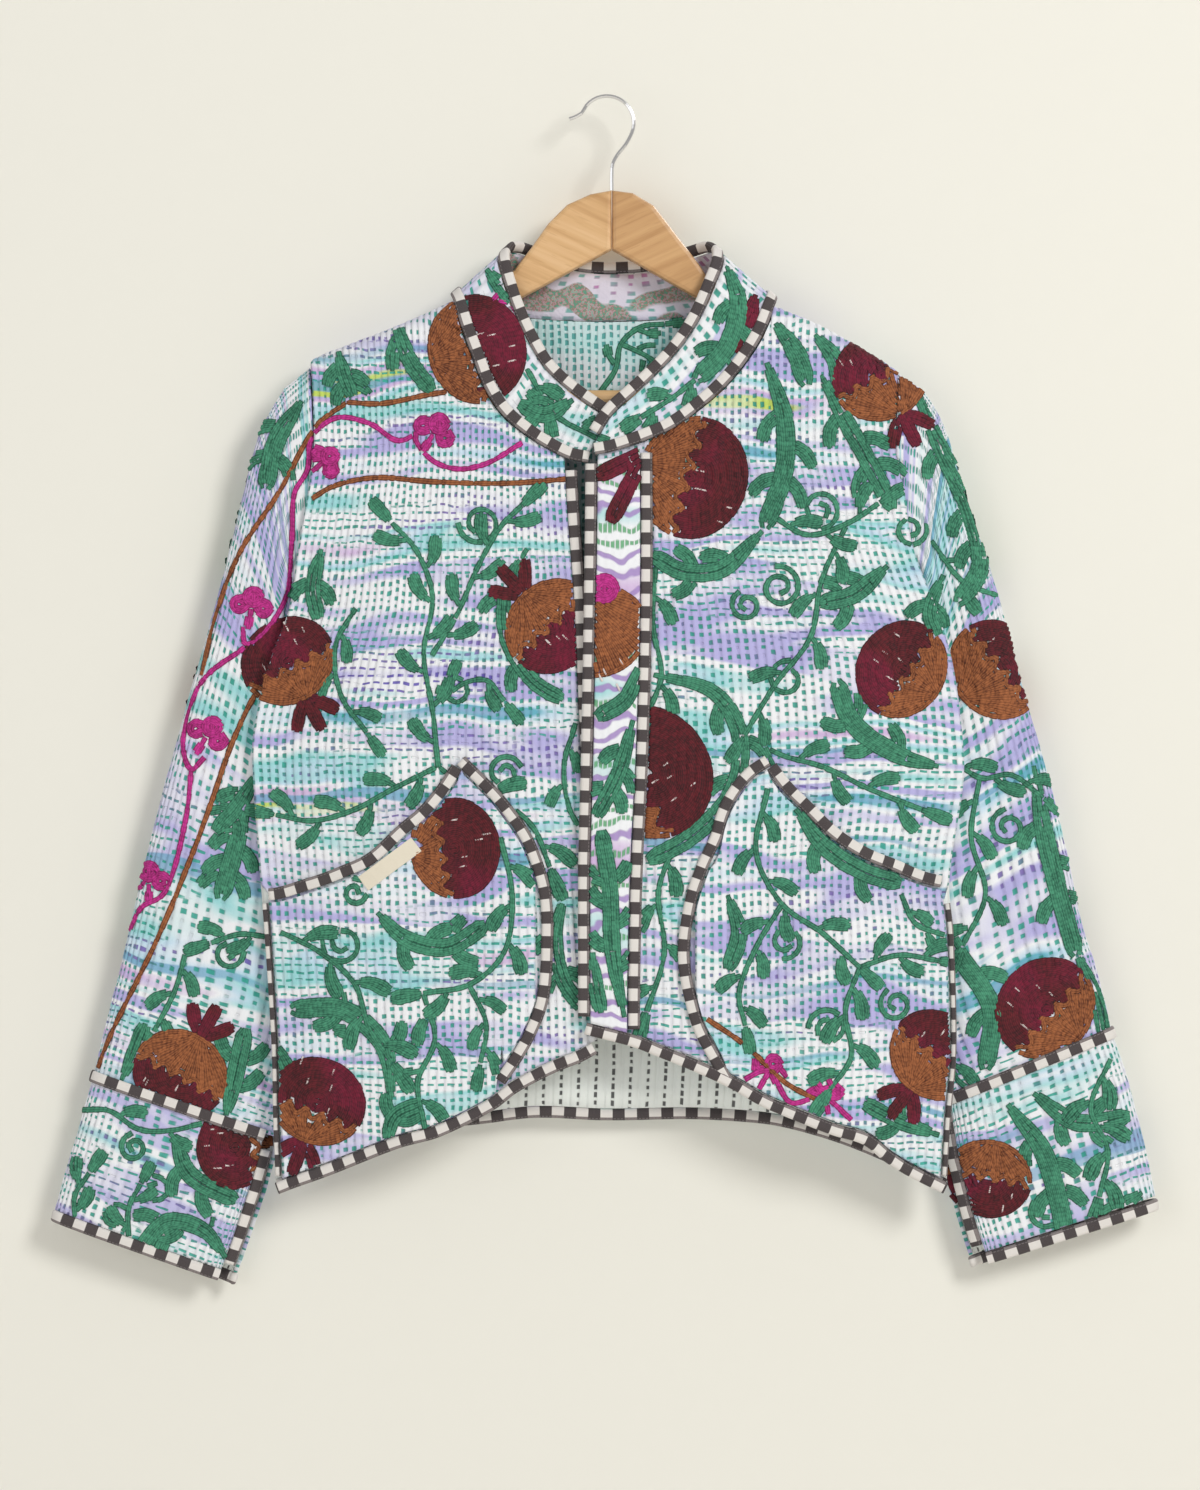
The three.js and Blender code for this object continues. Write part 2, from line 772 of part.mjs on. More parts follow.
function buildSleeve(side) {
  const sections = sleeveSections[side];
  const perFace = evenCount(sleeveRing);
  const surface = side === 'left' ? leftFrontInner : rightFrontInner;
  const outward = side === 'left' ? 1 : -1;
  const ring = (section, k, n) => {
    const front = n < perFace;
    const across = front ? 1 - 2 * n / perFace : -1 + 2 * (n - perFace) / perFace;
    const point = ringPoint(section, across, front, sleeveFold(front ? 'front' : 'back', across, k / (sections.length - 1)));
    if (k > 0) return point;
    const armX = backSideOf[side](point.z) + outward * armholeGap;
    const closing = ease((1 - Math.abs(across)) * 5);
    const seam = front
      ? surface(armX, point.z) + (wallOut + 0.6) * ease((-215 - point.z) / 35)
      : backInner(armX, point.z);
    return new THREE.Vector3(armX, mix(point.y, seam, closing), point.z);
  };
  const grid = Array.from({ length: 2 * perFace }, (_, n) => sections.map((section, k) => ring(section, k, n)));
  clothWall(`sleeve_${side}`, grid, { sense: side === 'left' ? -1 : 1, closed: true });
}

const cuffTop = 0;
const cuffEnd = 0.953;        // share of the cuff's length where its cloth stops and the binding begins
const slitAt = 0.86;          // across the cuff's front, where its slit lies
const slitTrimAt = 0.917;

function cuffRing(section, count) {
  const front = Array.from({ length: count }, (_, n) => ringPoint(section, mix(slitAt, -1, n / count), true, 0));
  const back = Array.from({ length: count + 1 }, (_, n) => ringPoint(section, mix(-1, 1, n / count), false, 0));
  return [...front, ...back];
}

function buildCuff(side) {
  const sections = cuffSections[side];
  const perFace = evenCount(sleeveRing);
  const sense = side === 'left' ? -1 : 1;
  const shares = [cuffTop, 0.32, 0.64, cuffEnd];
  const rings = shares.map((share) => cuffRing(sectionAt(sections, share), perFace));
  const grid = rings[0].map((_, n) => rings.map((ring) => ring[n]));
  clothWall(`cuff_${side}`, grid, { sense });
  const ringTrim = (name, share, section) => {
    const near = cuffRing(sectionAt(sections, clamp(share - 0.05, 0, 1)), perFace);
    const far = cuffRing(sectionAt(sections, clamp(share + 0.05, 0, 1)), perFace);
    const here = cuffRing(sectionAt(sections, share), perFace);
    const normals = gridNormals(here.map((_, n) => [near[n], far[n]]), sense, false).map((line) => line[0]);
    binding(name, here, normals, section);
  };
  const base = wallOut + 2 * seamGap;
  ringTrim(`binding_cuff_top_${side}`, cuffTop, flatSection(base, base + trimHeight));
  ringTrim(`binding_cuff_end_${side}`, 1, wrapSection(-0.8, -0.8 + edgeTrim));
  const slit = [0.09, 0.35, 0.62, 0.9].map((share) => ringPoint(sectionAt(sections, share), slitTrimAt, true, 0));
  const facing = new THREE.Vector3(side === 'left' ? -0.45 : 0.45, -0.88, -0.12).normalize();
  binding(`binding_cuff_slit_${side}`, slit, slit.map(() => facing.clone()), wrapSection(-0.4, -0.4 + edgeTrim));
}

// Pieces that lie on the fronts

const layGap = 1;           // between a front's ridges and a piece sewn on it
const layBase = wallOut + layGap;
const patchCloth = 2;
const patchRidge = 0.6;
const patchOut = layBase + patchCloth + patchRidge;

function buildBand() {
  const grid = panelGrid({
    columns: 8,
    innerEdge: (z) => bandInner(z) + halfTrim,
    outerEdge: (z) => bandOuter(z) - halfTrim,
    top: beside(neckOf.left, -halfTrim - 0.6),
    bottom: beside(hemOf.left, halfTrim),
    surface: (x, z) => leftFrontInner(x, z) - layBase,
    rows: [0, 0.15, 0.32, 0.5, 0.68, 0.85, 1],
  });
  clothWall('front_band', grid, { sense: -1, thick: patchCloth, ridge: patchRidge });
}

function pocketLines(side) {
  const widest = -584;
  const upper = curve(pocketCurves.filter((row) => row.z >= widest), side, 'z');
  const lower = curve(pocketCurves.filter((row) => row.z < widest), side, 'z');
  const mouth = curve(side === 'left' ? leftPocketMouth : rightPocketMouth, 'x', 'z');
  const apex = side === 'left' ? 112 : -102;
  const foot = side === 'left' ? 83.3 : -74;
  const top = (x) => (Math.abs(x) > Math.abs(apex) ? mouth(x) : upper(x));
  const bottom = (x) => (Math.abs(x) > Math.abs(foot) ? hemOf[side](x) : lower(x));
  return { top, bottom };
}

function buildPocket(side) {
  const { top, bottom } = pocketLines(side);
  const surface = side === 'left' ? leftFrontInner : rightFrontInner;
  const inward = side === 'left' ? -1 : 1;
  const grid = panelGrid({
    columns: evenCount(190),
    innerEdge: () => (side === 'left' ? 61.5 : -50),
    outerEdge: (z) => sideOf[side](z) + inward * (ventWidth + 0.8),
    top: beside(top, -halfTrim - 1.4 * layGap),
    bottom: beside(bottom, halfTrim + layGap),
    surface: (x, z) => surface(x, z) - layBase,
    rows: [0, 0.2, 0.45, 0.7, 1],
  });
  const sense = side === 'left' ? -1 : 1;
  clothWall(`pocket_${side}`, grid, { sense, thick: patchCloth, ridge: patchRidge });
}

function buildLabel() {
  const [start, end, drop] = [[-173.5, -547], [-136.5, -519.5], [7.2, -9.4]];
  const surface = (x, z) => rightFrontInner(x, z) - patchOut - 0.4;
  const grid = [0, 0.2, 0.4, 0.6, 0.8, 1].map((u) => [0, 1].map((v) => {
    const x = mix(start[0], end[0], u) + drop[0] * v;
    const z = mix(start[1], end[1], u) + drop[1] * v;
    return new THREE.Vector3(x, surface(x, z), z);
  }));
  clothWall('label', grid, { sense: -1, thick: 0.6, ridge: 0, tone: 'label' });
}

// Collar

function alongStations(count) {
  const line = (x, y, z) => new THREE.CatmullRomCurve3(
    collarStations.map((row) => new THREE.Vector3(row[x], row[y], row[z])), false, 'centripetal');
  const seam = line('seamX', 'seamY', 'seamZ');
  const edge = line('edgeX', 'edgeY', 'edgeZ');
  return Array.from({ length: count + 1 }, (_, i) => ({ seam: seam.getPoint(i / count), edge: edge.getPoint(i / count) }));
}

function buildCollar() {
  const stations = alongStations(44);
  const grid = stations.map(({ seam, edge }, i) => {
    const [before, after] = [stations[Math.max(i - 1, 0)], stations[Math.min(i + 1, stations.length - 1)]];
    const along = after.edge.clone().sub(before.edge).normalize();
    const rise = edge.clone().sub(seam);
    const width = rise.clone().addScaledVector(along, -rise.dot(along)).length();
    const top = 1 - (halfTrim + seamGap) / width;
    return [top, top * 0.66, top * 0.33, 0.5 / width].map((share) => seam.clone().lerp(edge, share));
  });
  clothWall('collar', grid, { sense: 1 });
  const normals = gridNormals(stations.map(({ seam, edge }) => [edge, seam]), 1, false).map((line) => line[0]);
  binding('binding_collar_edge', stations.map(({ edge }) => edge), normals, wrapSection(-0.8, -0.8 + edgeTrim));
  const base = wallOut + 2 * seamGap;
  const seamRun = stations.map(({ seam, edge }) => seam.clone().lerp(edge, halfTrim * 0.7 / seam.distanceTo(edge)));
  binding('binding_collar_seam', seamRun, normals, flatSection(base, base + trimHeight));
}

// Bindings of the body

function drawnDown(xAt, zTop, zBottom, count) {
  return Array.from({ length: count + 1 }, (_, i) => {
    const z = mix(zTop, zBottom, i / count);
    return [xAt(z), z];
  });
}

function drawnAcross(zAt, xStart, xEnd, count) {
  return Array.from({ length: count + 1 }, (_, i) => {
    const x = mix(xStart, xEnd, i / count);
    return [x, zAt(x)];
  });
}

function bindOn(name, surface, facing, drawn, count, section) {
  const { points, normals } = lineOn(surface, facing, drawn, count);
  binding(name, points, normals, section);
}

function buildBindings() {
  const thin = wrapSection(-0.8, -0.8 + edgeTrim);
  const overPatch = wrapSection(0.1, lappedTrim - 0.6);
  const onFront = flatSection(wallOut + seamGap + 0.3, patchOut + 0.5);
  const ventTop = -566;
  const ventHalf = 2;
  bindOn('binding_edge_right', rightFrontInner, -1, drawnDown(rightFrontEdge, -263, -655, 10), 12, thin);
  bindOn('binding_band_inner', leftFrontInner, -1, drawnDown(bandInner, -259, -644, 10), 12,
    wrapSection(-0.3, lappedTrim - 0.6));
  bindOn('binding_band_outer', leftFrontInner, -1, drawnDown(bandOuter, -251, -653, 10), 12, onFront);
  bindOn('binding_hem_right', rightFrontInner, -1, drawnAcross(hemOf.right, -9, -231, 16), 18, overPatch);
  bindOn('binding_hem_left', leftFrontInner, -1, drawnAcross(hemOf.left, -15, 237, 18), 20, overPatch);
  bindOn('binding_hem_back', backInner, 1, drawnAcross(backHemAt, -231, 237, 24), 24, wrapSection(0.1, edgeTrim - 0.6));
  const sides = { right: [rightFrontInner, 1, -102], left: [leftFrontInner, -1, 112] };
  for (const [side, [surface, inward, apex]] of Object.entries(sides)) {
    const { top } = pocketLines(side);
    const outer = sideOf[side](-556) + inward * 6;
    bindOn(`binding_pocket_mouth_${side}`, surface, -1, drawnAcross(top, outer, apex - inward * 3, 9), 9,
      wrapSection(layBase, patchOut + 0.8));
    const curveRows = pocketCurves.slice(1, -1).map((row) => [row[side], row.z]);
    bindOn(`binding_pocket_curve_${side}`, surface, -1, curveRows, 12, onFront);
    const atSide = (z) => sideOf[side](z) + inward * ventHalf;
    bindOn(`binding_vent_front_${side}`, surface, -1, drawnDown(atSide, ventTop, -757, 5), 5,
      wrapSection(0.1, edgeTrim - 0.8, ventHalf));
  }
}

// Hanger

function addGeometry(name, tone, geometry) {
  const plain = geometry.index ? geometry.toNonIndexed() : geometry;
  const place = plain.getAttribute('position');
  const positions = Array.from({ length: place.count }, (_, i) => new THREE.Vector3().fromBufferAttribute(place, i));
  const triangles = Array.from({ length: place.count / 3 }, (_, i) => [3 * i, 3 * i + 1, 3 * i + 2]);
  addMesh(name, tone, positions, triangles);
}

function buildHanger() {
  for (const [side, outline] of Object.entries(woodOutlines)) {
    const shape = new THREE.Shape(outline.map(({ x, z }) => new THREE.Vector2(x, z)));
    const depth = 2 * (woodHalf - woodBevel);
    const wood = new THREE.ExtrudeGeometry(shape, {
      depth, bevelThickness: woodBevel, bevelSize: woodBevel, bevelOffset: -woodBevel, bevelSegments: 2,
    });
    wood.translate(0, 0, -depth / 2);
    wood.rotateX(Math.PI / 2);
    addGeometry(`hanger_wood_${side}`, 'wood', wood);
  }
  const bend = Array.from({ length: 13 }, (_, i) => {
    const angle = THREE.MathUtils.degToRad(mix(158, -28, i / 12));
    return [hookRadius * Math.cos(angle), hookRadius * (Math.sin(angle) - 1) + wireRadius];
  });
  const route = [...hookTip.map(({ x, z }) => [x, z]), ...bend, ...hookStem.map(({ x, z }) => [x, z])];
  const wirePath = new THREE.CatmullRomCurve3(route.map(([x, z]) => new THREE.Vector3(x, 0, z)), false, 'centripetal');
  const ring = Array.from({ length: 8 }, (_, i) => new THREE.Vector2(wireRadius, 0)
    .rotateAround(new THREE.Vector2(), i * Math.PI / 4));
  const wire = new THREE.ExtrudeGeometry(new THREE.Shape(ring), { extrudePath: wirePath, steps: 36 });
  addGeometry('hanger_hook', 'chrome', wire);
  const bar = new THREE.CylinderGeometry(barRadius, barRadius, barEnds[1] - barEnds[0], 14);
  bar.rotateZ(Math.PI / 2);
  bar.translate((barEnds[0] + barEnds[1]) / 2, 0, barHeight);
  addGeometry('hanger_bar', 'wood', bar);
}

buildBack();
for (const side of ['right', 'left']) {
  buildFront(side);
  buildSleeve(side);
  buildCuff(side);
  buildPocket(side);
}
buildBand();
buildCollar();
buildBindings();
buildLabel();
buildHanger();

export default jacket;
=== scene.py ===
import math
import random

import bpy
import numpy as np
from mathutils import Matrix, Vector
from mathutils.bvhtree import BVHTree


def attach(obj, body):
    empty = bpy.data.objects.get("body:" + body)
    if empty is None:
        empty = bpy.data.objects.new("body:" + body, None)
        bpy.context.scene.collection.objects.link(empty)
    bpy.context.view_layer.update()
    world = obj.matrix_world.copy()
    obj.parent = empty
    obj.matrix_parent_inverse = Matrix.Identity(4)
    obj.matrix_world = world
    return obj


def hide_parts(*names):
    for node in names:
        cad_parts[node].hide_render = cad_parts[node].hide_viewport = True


# A quilted, embroidered cotton jacket hanging closed on a wooden hanger. The scene is in metres.
# The jacket's own sizes are in millimetres, seen from the front: x to the right, z up, y to the wall.

mm = 0.001
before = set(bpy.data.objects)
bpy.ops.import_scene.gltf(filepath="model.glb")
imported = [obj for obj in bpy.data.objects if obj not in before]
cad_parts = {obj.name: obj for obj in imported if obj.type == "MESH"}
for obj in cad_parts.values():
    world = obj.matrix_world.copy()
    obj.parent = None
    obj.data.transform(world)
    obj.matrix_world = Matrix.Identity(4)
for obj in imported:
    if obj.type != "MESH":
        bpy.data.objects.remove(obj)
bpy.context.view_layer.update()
print("frame loaded")

sizes = {
    "cloth": 2.4,            # thickness of the quilted cloth
    "ridge": 0.9,            # height of the puckers
    "trimWidth": 8.4,        # the checked binding
    "lappedTrim": 8.2,       # its thickness over two layers of cloth
    "patchCloth": 2.0,       # thickness of what is sewn on the fronts
    "patchRidge": 0.6,
    "layGap": 1.0,
    "sideSeamDepth": 7.7,
    "backDepth": 12.0,
    "armholeDepth": 10.5,
    "archDrop": 11.0,
    "armpitHeight": -396.0,
    "armholeGap": 0.5,
    "ventWidth": 4.8,
}
wallOut = sizes["cloth"] + sizes["ridge"]
seamGap = 0.3
layBase = wallOut + sizes["layGap"]
patchOut = layBase + sizes["patchCloth"] + sizes["patchRidge"]
halfTrim = sizes["trimWidth"] / 2 + seamGap
edgeReach = (-0.8, 4.4)  # how low and how high a binding goes round a free edge
seamBase = wallOut + 2 * seamGap
seamReach = (seamBase - 0.3, seamBase + 1.6)  # the same for one that lies flat on a wall
clothUnit = 5.7  # length of cloth to a unit of its UV map

# Outlines, as on the solids: each row's columns are named beside the table

sideEdges = [  # z right left
    (-140, -208.6, 203.6), (-200, -206.6, 202.8), (-240, -205.2, 202.2), (-256, -206, 203),
    (-275, -209, 208), (-315, -216, 214), (-360, -223, 231), (-396, -236, 242), (-447, -248, 249),
    (-480, -248, 250), (-550, -243, 240), (-588, -240, 243), (-668, -235, 245), (-717, -234, 241),
    (-766, -232, 238),
]
backEdges = [  # z right left
    (-140, -208.6, 203.6), (-250, -205, 202), (-340, -203, 202.5), (-400, -203, 202.5),
    (-411, -204, 203.5), (-424, -222, 224), (-436, -240, 242), (-450, -247, 249), (-480, -248, 250),
    (-550, -243, 240), (-588, -240, 243), (-668, -235, 245), (-717, -234, 241), (-766, -232, 238),
]
shoulderLine = [  # x z
    (-236, -210), (-213, -189), (-201, -181), (-173, -170), (-145, -159), (-105, -141), (-70, -124),
    (0, -92), (75, -124), (115, -145), (146, -158), (177, -175), (205, -193), (230, -213),
]
rightNeck = [  # x z
    (-105, -141), (-100.8, -162), (-92.4, -185), (-84, -206), (-72.8, -223), (-58, -236),
    (-41, -247), (-26.6, -254), (-10, -257),
]
leftNeck = [  # x z
    (-16, -252), (-1.4, -250), (21.7, -243), (44.8, -233), (65.8, -218), (82.6, -203), (97.3, -185),
    (109.2, -165), (115, -145),
]
rightFrontHem = [  # x z
    (-250, -772), (-232, -766), (-187, -749), (-145, -732), (-117, -724), (-81, -706), (-64, -693),
    (-39, -680), (-19, -672), (-3, -664), (20, -662),
]
leftFrontHem = [  # x z
    (-20, -651), (17, -661), (36, -668), (61, -678), (86, -690), (109, -703), (133, -713),
    (158, -723), (179, -730), (195, -743), (210, -752), (238, -766), (250, -772),
]
backHem = [  # x z
    (-250, -770), (-232, -764), (-190, -746), (-150, -731), (-117, -722), (-86, -718), (-50, -714),
    (0, -716), (61, -715), (109, -718), (135, -723), (171, -734), (210, -750), (238, -764),
    (250, -770),
]
frontEdges = [  # z right bandInner bandOuter
    (-140, -26, -11, 26), (-262, -25, -11, 27), (-353, -19, -12, 27), (-460, -14, -14, 24),
    (-540, -9, -16, 20), (-620, -4, -16, 18), (-680, -2, -16, 18),
]
rightPocketMouth = [  # x z
    (-246, -559), (-231, -559), (-207, -552), (-185, -544), (-164, -534), (-143, -514),
    (-128, -501), (-114, -484), (-102, -466),
]
leftPocketMouth = [  # x z
    (112, -466), (125, -483), (140, -498), (158, -516), (180, -531), (202, -540), (223, -548),
    (246, -553),
]
pocketCurves = [  # z right left
    (-466, -102, 112), (-475, -92.4, 98.7), (-489, -78.4, 87), (-503, -67.2, 80),
    (-519, -56.7, 75.6), (-536, -49.7, 67.9), (-555, -44.1, 60.9), (-573, -42, 56.7),
    (-595, -42, 53.9), (-612, -42.7, 54.6), (-634, -45.5, 58.8), (-653, -52.5, 64.4),
    (-671, -62, 73.5), (-689, -74, 83.3),
]
bodyFolds = [  # panel topX bottomX top bottom halfWidth height
    ("front", -150, -172, -250, -560, 26, 2.6), ("front", -95, -112, -300, -700, 24, -2.2),
    ("front", -205, -205, -330, -766, 17, 2.4), ("front", -60, -66, -420, -700, 22, 2.0),
    ("front", 60, 68, -290, -690, 24, 2.4), ("front", 120, 104, -250, -700, 26, -2.4),
    ("front", 185, 168, -240, -730, 24, 2.4), ("front", 210, 203, -380, -766, 17, -2.6),
    ("back", -150, -165, -260, -770, 26, 2.4), ("back", -70, -80, -330, -730, 28, -2.2),
    ("back", 0, 4, -300, -730, 26, 2.2), ("back", 75, 84, -340, -730, 26, -2.4),
    ("back", 150, 160, -260, -770, 26, 2.6),
]
collarStations = [  # seamX seamY seamZ edgeX edgeY edgeZ
    (-14, -15.2, -256.5, 2, -14.6, -222), (-26.6, -15.2, -254, -9, -14.6, -215),
    (-41, -15.2, -247, -19, -14.4, -208), (-58, -15, -236, -31.5, -14.2, -198),
    (-72.8, -14.6, -223, -42, -14, -187), (-84, -14.2, -206, -50.5, -13.6, -173),
    (-92.4, -13.8, -185, -58, -13, -158), (-100.8, -12.4, -162, -66, -12, -137),
    (-105.5, -6.5, -144, -71.4, -8, -114), (-106, 0.5, -141, -68, -1, -107),
    (-102, 8, -143.5, -61, 5.5, -105.5), (-88, 13.2, -148, -50, 12, -108),
    (-60, 15.2, -153, -35, 15.2, -113), (-25, 15.8, -155.5, -14, 16.4, -117),
    (10, 15.8, -155.5, 12, 16.6, -117.5), (45, 15.6, -154.5, 32, 16, -115.5),
    (75, 14.6, -151, 49, 14, -110), (100, 11.6, -147, 62, 10, -106.5),
    (112, 5.5, -144, 70, 4, -105.5), (116, -2, -144, 76, -4, -109),
    (114.5, -8.5, -150, 76.5, -9.5, -117), (109.2, -12.6, -165, 71.5, -12.6, -131),
    (97.3, -14.2, -185, 63, -13.8, -151), (82.6, -15, -203, 53, -14.8, -168),
    (65.8, -15.6, -218, 41, -15.8, -183), (44.8, -17.2, -233, 28, -17.6, -196),
    (21.7, -20.4, -243, 15, -20, -208), (2, -21.6, -249.5, 1, -21.4, -221),
    (-9, -21.8, -251.5, -9, -21.8, -236),
]
sleeveFolds = [  # side at from to halfWidth height
    ("front", 0.55, 0.02, 0.55, 0.2, -3.4), ("front", 0.12, 0.1, 0.62, 0.16, 2.2),
    ("front", -0.3, 0.35, 0.95, 0.2, -2.2), ("front", 0.3, 0.6, 1, 0.2, 1.8),
    ("back", 0.4, 0.02, 0.6, 0.22, 2.4), ("back", -0.15, 0.2, 0.8, 0.2, -2.4),
    ("back", 0.2, 0.55, 1, 0.2, 2),
]
sleeveSections = {  # outerX outerY outerZ innerX innerY innerZ half
    "right": [
        (-213.5, 0, -189, -206.5, -5, -393, 8), (-224, 0.5, -202, -211, 3, -394, 7),
        (-235, 1.5, -219, -213, 7.5, -397, 7.5), (-245, 3, -241, -213, 10, -402, 8),
        (-257.5, 5, -289, -210, 13, -416, 8.5), (-274.5, 7, -352, -204, 15, -446, 9),
        (-295.5, 7.5, -423, -197, 15, -487, 9.5), (-313, 7, -487, -196, 15, -536, 9.5),
        (-329, 7.5, -550, -198, 15, -592, 9), (-342, 8, -606, -206, 15, -650, 9),
        (-352, 8, -645, -217, 14.5, -692, 8.5), (-362, 8, -687, -230, 14, -732.5, 8.5),
    ],
    "left": [
        (208.5, 0, -193, 206, -5, -393, 8), (221, 0.5, -205, 211, 3, -394, 7),
        (232, 1.5, -222, 213, 7.5, -397, 7.5), (240, 3, -243, 213, 10, -402, 8),
        (252, 5, -282, 210, 13, -416, 8.5), (271, 7, -335, 204.5, 15, -444, 9),
        (289, 7.5, -400, 200, 15, -481, 9.5), (308, 7, -466, 199, 15, -528, 9.5),
        (321, 7.5, -515, 200, 15, -580, 9), (334.6, 8, -578, 206, 15, -636, 9),
        (346, 8, -615, 216, 14.5, -674, 8.5), (356, 8, -656, 230, 14, -708, 8.5),
    ],
}
cuffSections = {  # outerX outerY outerZ innerX innerY innerZ half
    "right": [
        (-362.3, 8, -688, -230.3, 14, -733.5, 8.7), (-372, 8, -722, -240, 13.5, -769, 9),
        (-382, 8, -755, -251, 13, -802, 8.6), (-390.5, 8, -786, -262, 12.5, -832, 8.2),
    ],
    "left": [
        (356.3, 8, -657, 230.4, 14, -709, 8.7), (367.5, 8, -690, 236.5, 13.5, -749, 9),
        (379, 8, -735, 246, 13, -787, 8.6), (388, 8, -778, 256.5, 12.5, -820, 8.2),
    ],
}


# Curves through the tables

def mix(low, high, share):
    return low + (high - low) * share


def ease(share):
    held = np.clip(share, 0.0, 1.0)
    return held * held * (3 - 2 * held)


def curveThrough(rows, column=1):
    points = sorted((row[0], row[column]) for row in rows)
    xs = np.array([point[0] for point in points], float)
    ys = np.array([point[1] for point in points], float)
    last = len(xs) - 1
    ahead = np.minimum(np.arange(last + 1) + 1, last)
    behind = np.maximum(np.arange(last + 1) - 1, 0)
    slopes = (ys[ahead] - ys[behind]) / (xs[ahead] - xs[behind])

    def value(at):
        held = np.clip(np.asarray(at, float), xs[0], xs[-1])
        i = np.clip(np.searchsorted(xs, held) - 1, 0, last - 1)
        span = xs[i + 1] - xs[i]
        t = (held - xs[i]) / span
        bend = slopes[i] * span * t * (1 - t) ** 2 + slopes[i + 1] * span * t * t * (t - 1)
        return mix(ys[i], ys[i + 1], ease(t)) + bend

    return value


def beside(line, distance):  # a line a set distance beside another, square to it
    return lambda at: line(at) + distance * np.hypot(1, (line(at + 2) - line(at - 2)) / 4)


def crossing(gap, low, high, count):  # where each falling gap is nought
    a, b = np.full(count, float(low)), np.full(count, float(high))
    for _ in range(34):
        middle = (a + b) / 2
        above = gap(middle) > 0
        a, b = np.where(above, middle, a), np.where(above, b, middle)
    return (a + b) / 2


shoulder = curveThrough(shoulderLine)
sideOf = {"right": curveThrough(sideEdges, 1), "left": curveThrough(sideEdges, 2)}
backSideOf = {"right": curveThrough(backEdges, 1), "left": curveThrough(backEdges, 2)}
neckOf = {"right": curveThrough(rightNeck), "left": curveThrough(leftNeck)}
hemOf = {"right": curveThrough(rightFrontHem), "left": curveThrough(leftFrontHem)}
backHemAt = curveThrough(backHem)
rightFrontEdge, bandInner, bandOuter = (curveThrough(frontEdges, column) for column in (1, 2, 3))
neckCorners = {"right": (-105, -146), "left": (115, -150)}


# Surfaces of the cloth's inner faces: depth y at x and z

def bySide(table, x, z):
    return np.where(x < 0, table["right"](z), table["left"](z))


def shoulderTop(x):
    return shoulder(x) - wallOut


def arch(x, z):
    below = np.clip((shoulderTop(x) - z) / sizes["archDrop"], 0, 1)
    return np.sqrt(1 - (1 - below) ** 2)


def foldHeight(panel, x, z):
    height = np.zeros_like(x)
    for name, topX, bottomX, top, bottom, halfWidth, high in bodyFolds:
        if name == panel:
            down = (top - z) / (top - bottom)
            across = (x - mix(topX, bottomX, np.clip(down, 0, 1))) / halfWidth
            height += high * np.exp(-across * across) * ease(down * 2.5) * ease((1.25 - down) * 3)
    return height


def frontInner(x, z, lap=0.0):
    x, z = np.asarray(x, float), np.asarray(z, float)
    wide = np.abs(bySide(sideOf, x, z)) - np.abs(x)
    chest = mix(13, 21, ease((-170 - z) / 280)) + 5 * ease((-450 - z) / 260)
    edge = mix(sizes["armholeDepth"], sizes["sideSeamDepth"], ease((-300 - z) / 120))
    depth = mix(edge, chest, ease(wide / 110)) + foldHeight("front", x, z) * ease(wide / 18)
    return -depth * arch(x, z) - lap - seamGap / 2


def rightInner(x, z):
    return frontInner(x, z)


def leftInner(x, z):
    return frontInner(x, z, 5.2 * ease((34 - np.asarray(x, float)) / 36))


def backInner(x, z):
    x, z = np.asarray(x, float), np.asarray(z, float)
    wide = np.abs(bySide(sideOf, x, z)) - np.abs(x)
    below = mix(-sizes["sideSeamDepth"], sizes["backDepth"], ease(wide / 130))
    downArm = np.clip((-190 - z) / (-190 - sizes["armpitHeight"]), 0, 1)
    armhole = mix(-4.6, 11.3, np.sqrt(1 - downArm ** 4))
    fromArm = np.abs(bySide(backSideOf, x, z)) - np.abs(x)
    above = mix(armhole, sizes["backDepth"], ease(fromArm / 75))
    depth = mix(above, below, ease((-370 - z) / 40)) + foldHeight("back", x, z) * ease(wide / 60)
    return depth * arch(x, z) + seamGap / 2


innerOf = {"right": rightInner, "left": leftInner}


# Grids of points, [column, row, xyz]

panelHeights = (-900, -80)  # every panel lies between these


def panelGrid(columns, innerEdge, outerEdge, top, bottom, surface, spacing, topSteps=()):
    share = np.linspace(0, 1, columns + 1)

    def xAt(z):
        return mix(innerEdge(z), outerEdge(z), share)

    high = crossing(lambda z: top(xAt(z)) - z, *panelHeights, columns + 1)
    low = crossing(lambda z: bottom(xAt(z)) - z, *panelHeights, columns + 1)
    tallest = float(np.max(high - low))
    rest = np.linspace(topSteps[-1] if topSteps else 0, tallest, int(tallest / spacing) + 1)
    down = np.concatenate([np.array(topSteps[:-1]), rest]) / tallest
    z = mix(high[:, None], low[:, None], down[None, :])
    x = innerEdge(z) + (outerEdge(z) - innerEdge(z)) * share[:, None]
    return np.stack([x, surface(x, z), z], axis=-1)


def gridNormals(grid, sense, closed=False):
    if closed:
        across = np.roll(grid, -1, 0) - np.roll(grid, 1, 0)
    else:
        across = np.gradient(grid, axis=0)
    down = np.gradient(grid, axis=1)
    normals = np.cross(across, down) * sense
    return normals / np.linalg.norm(normals, axis=-1, keepdims=True)


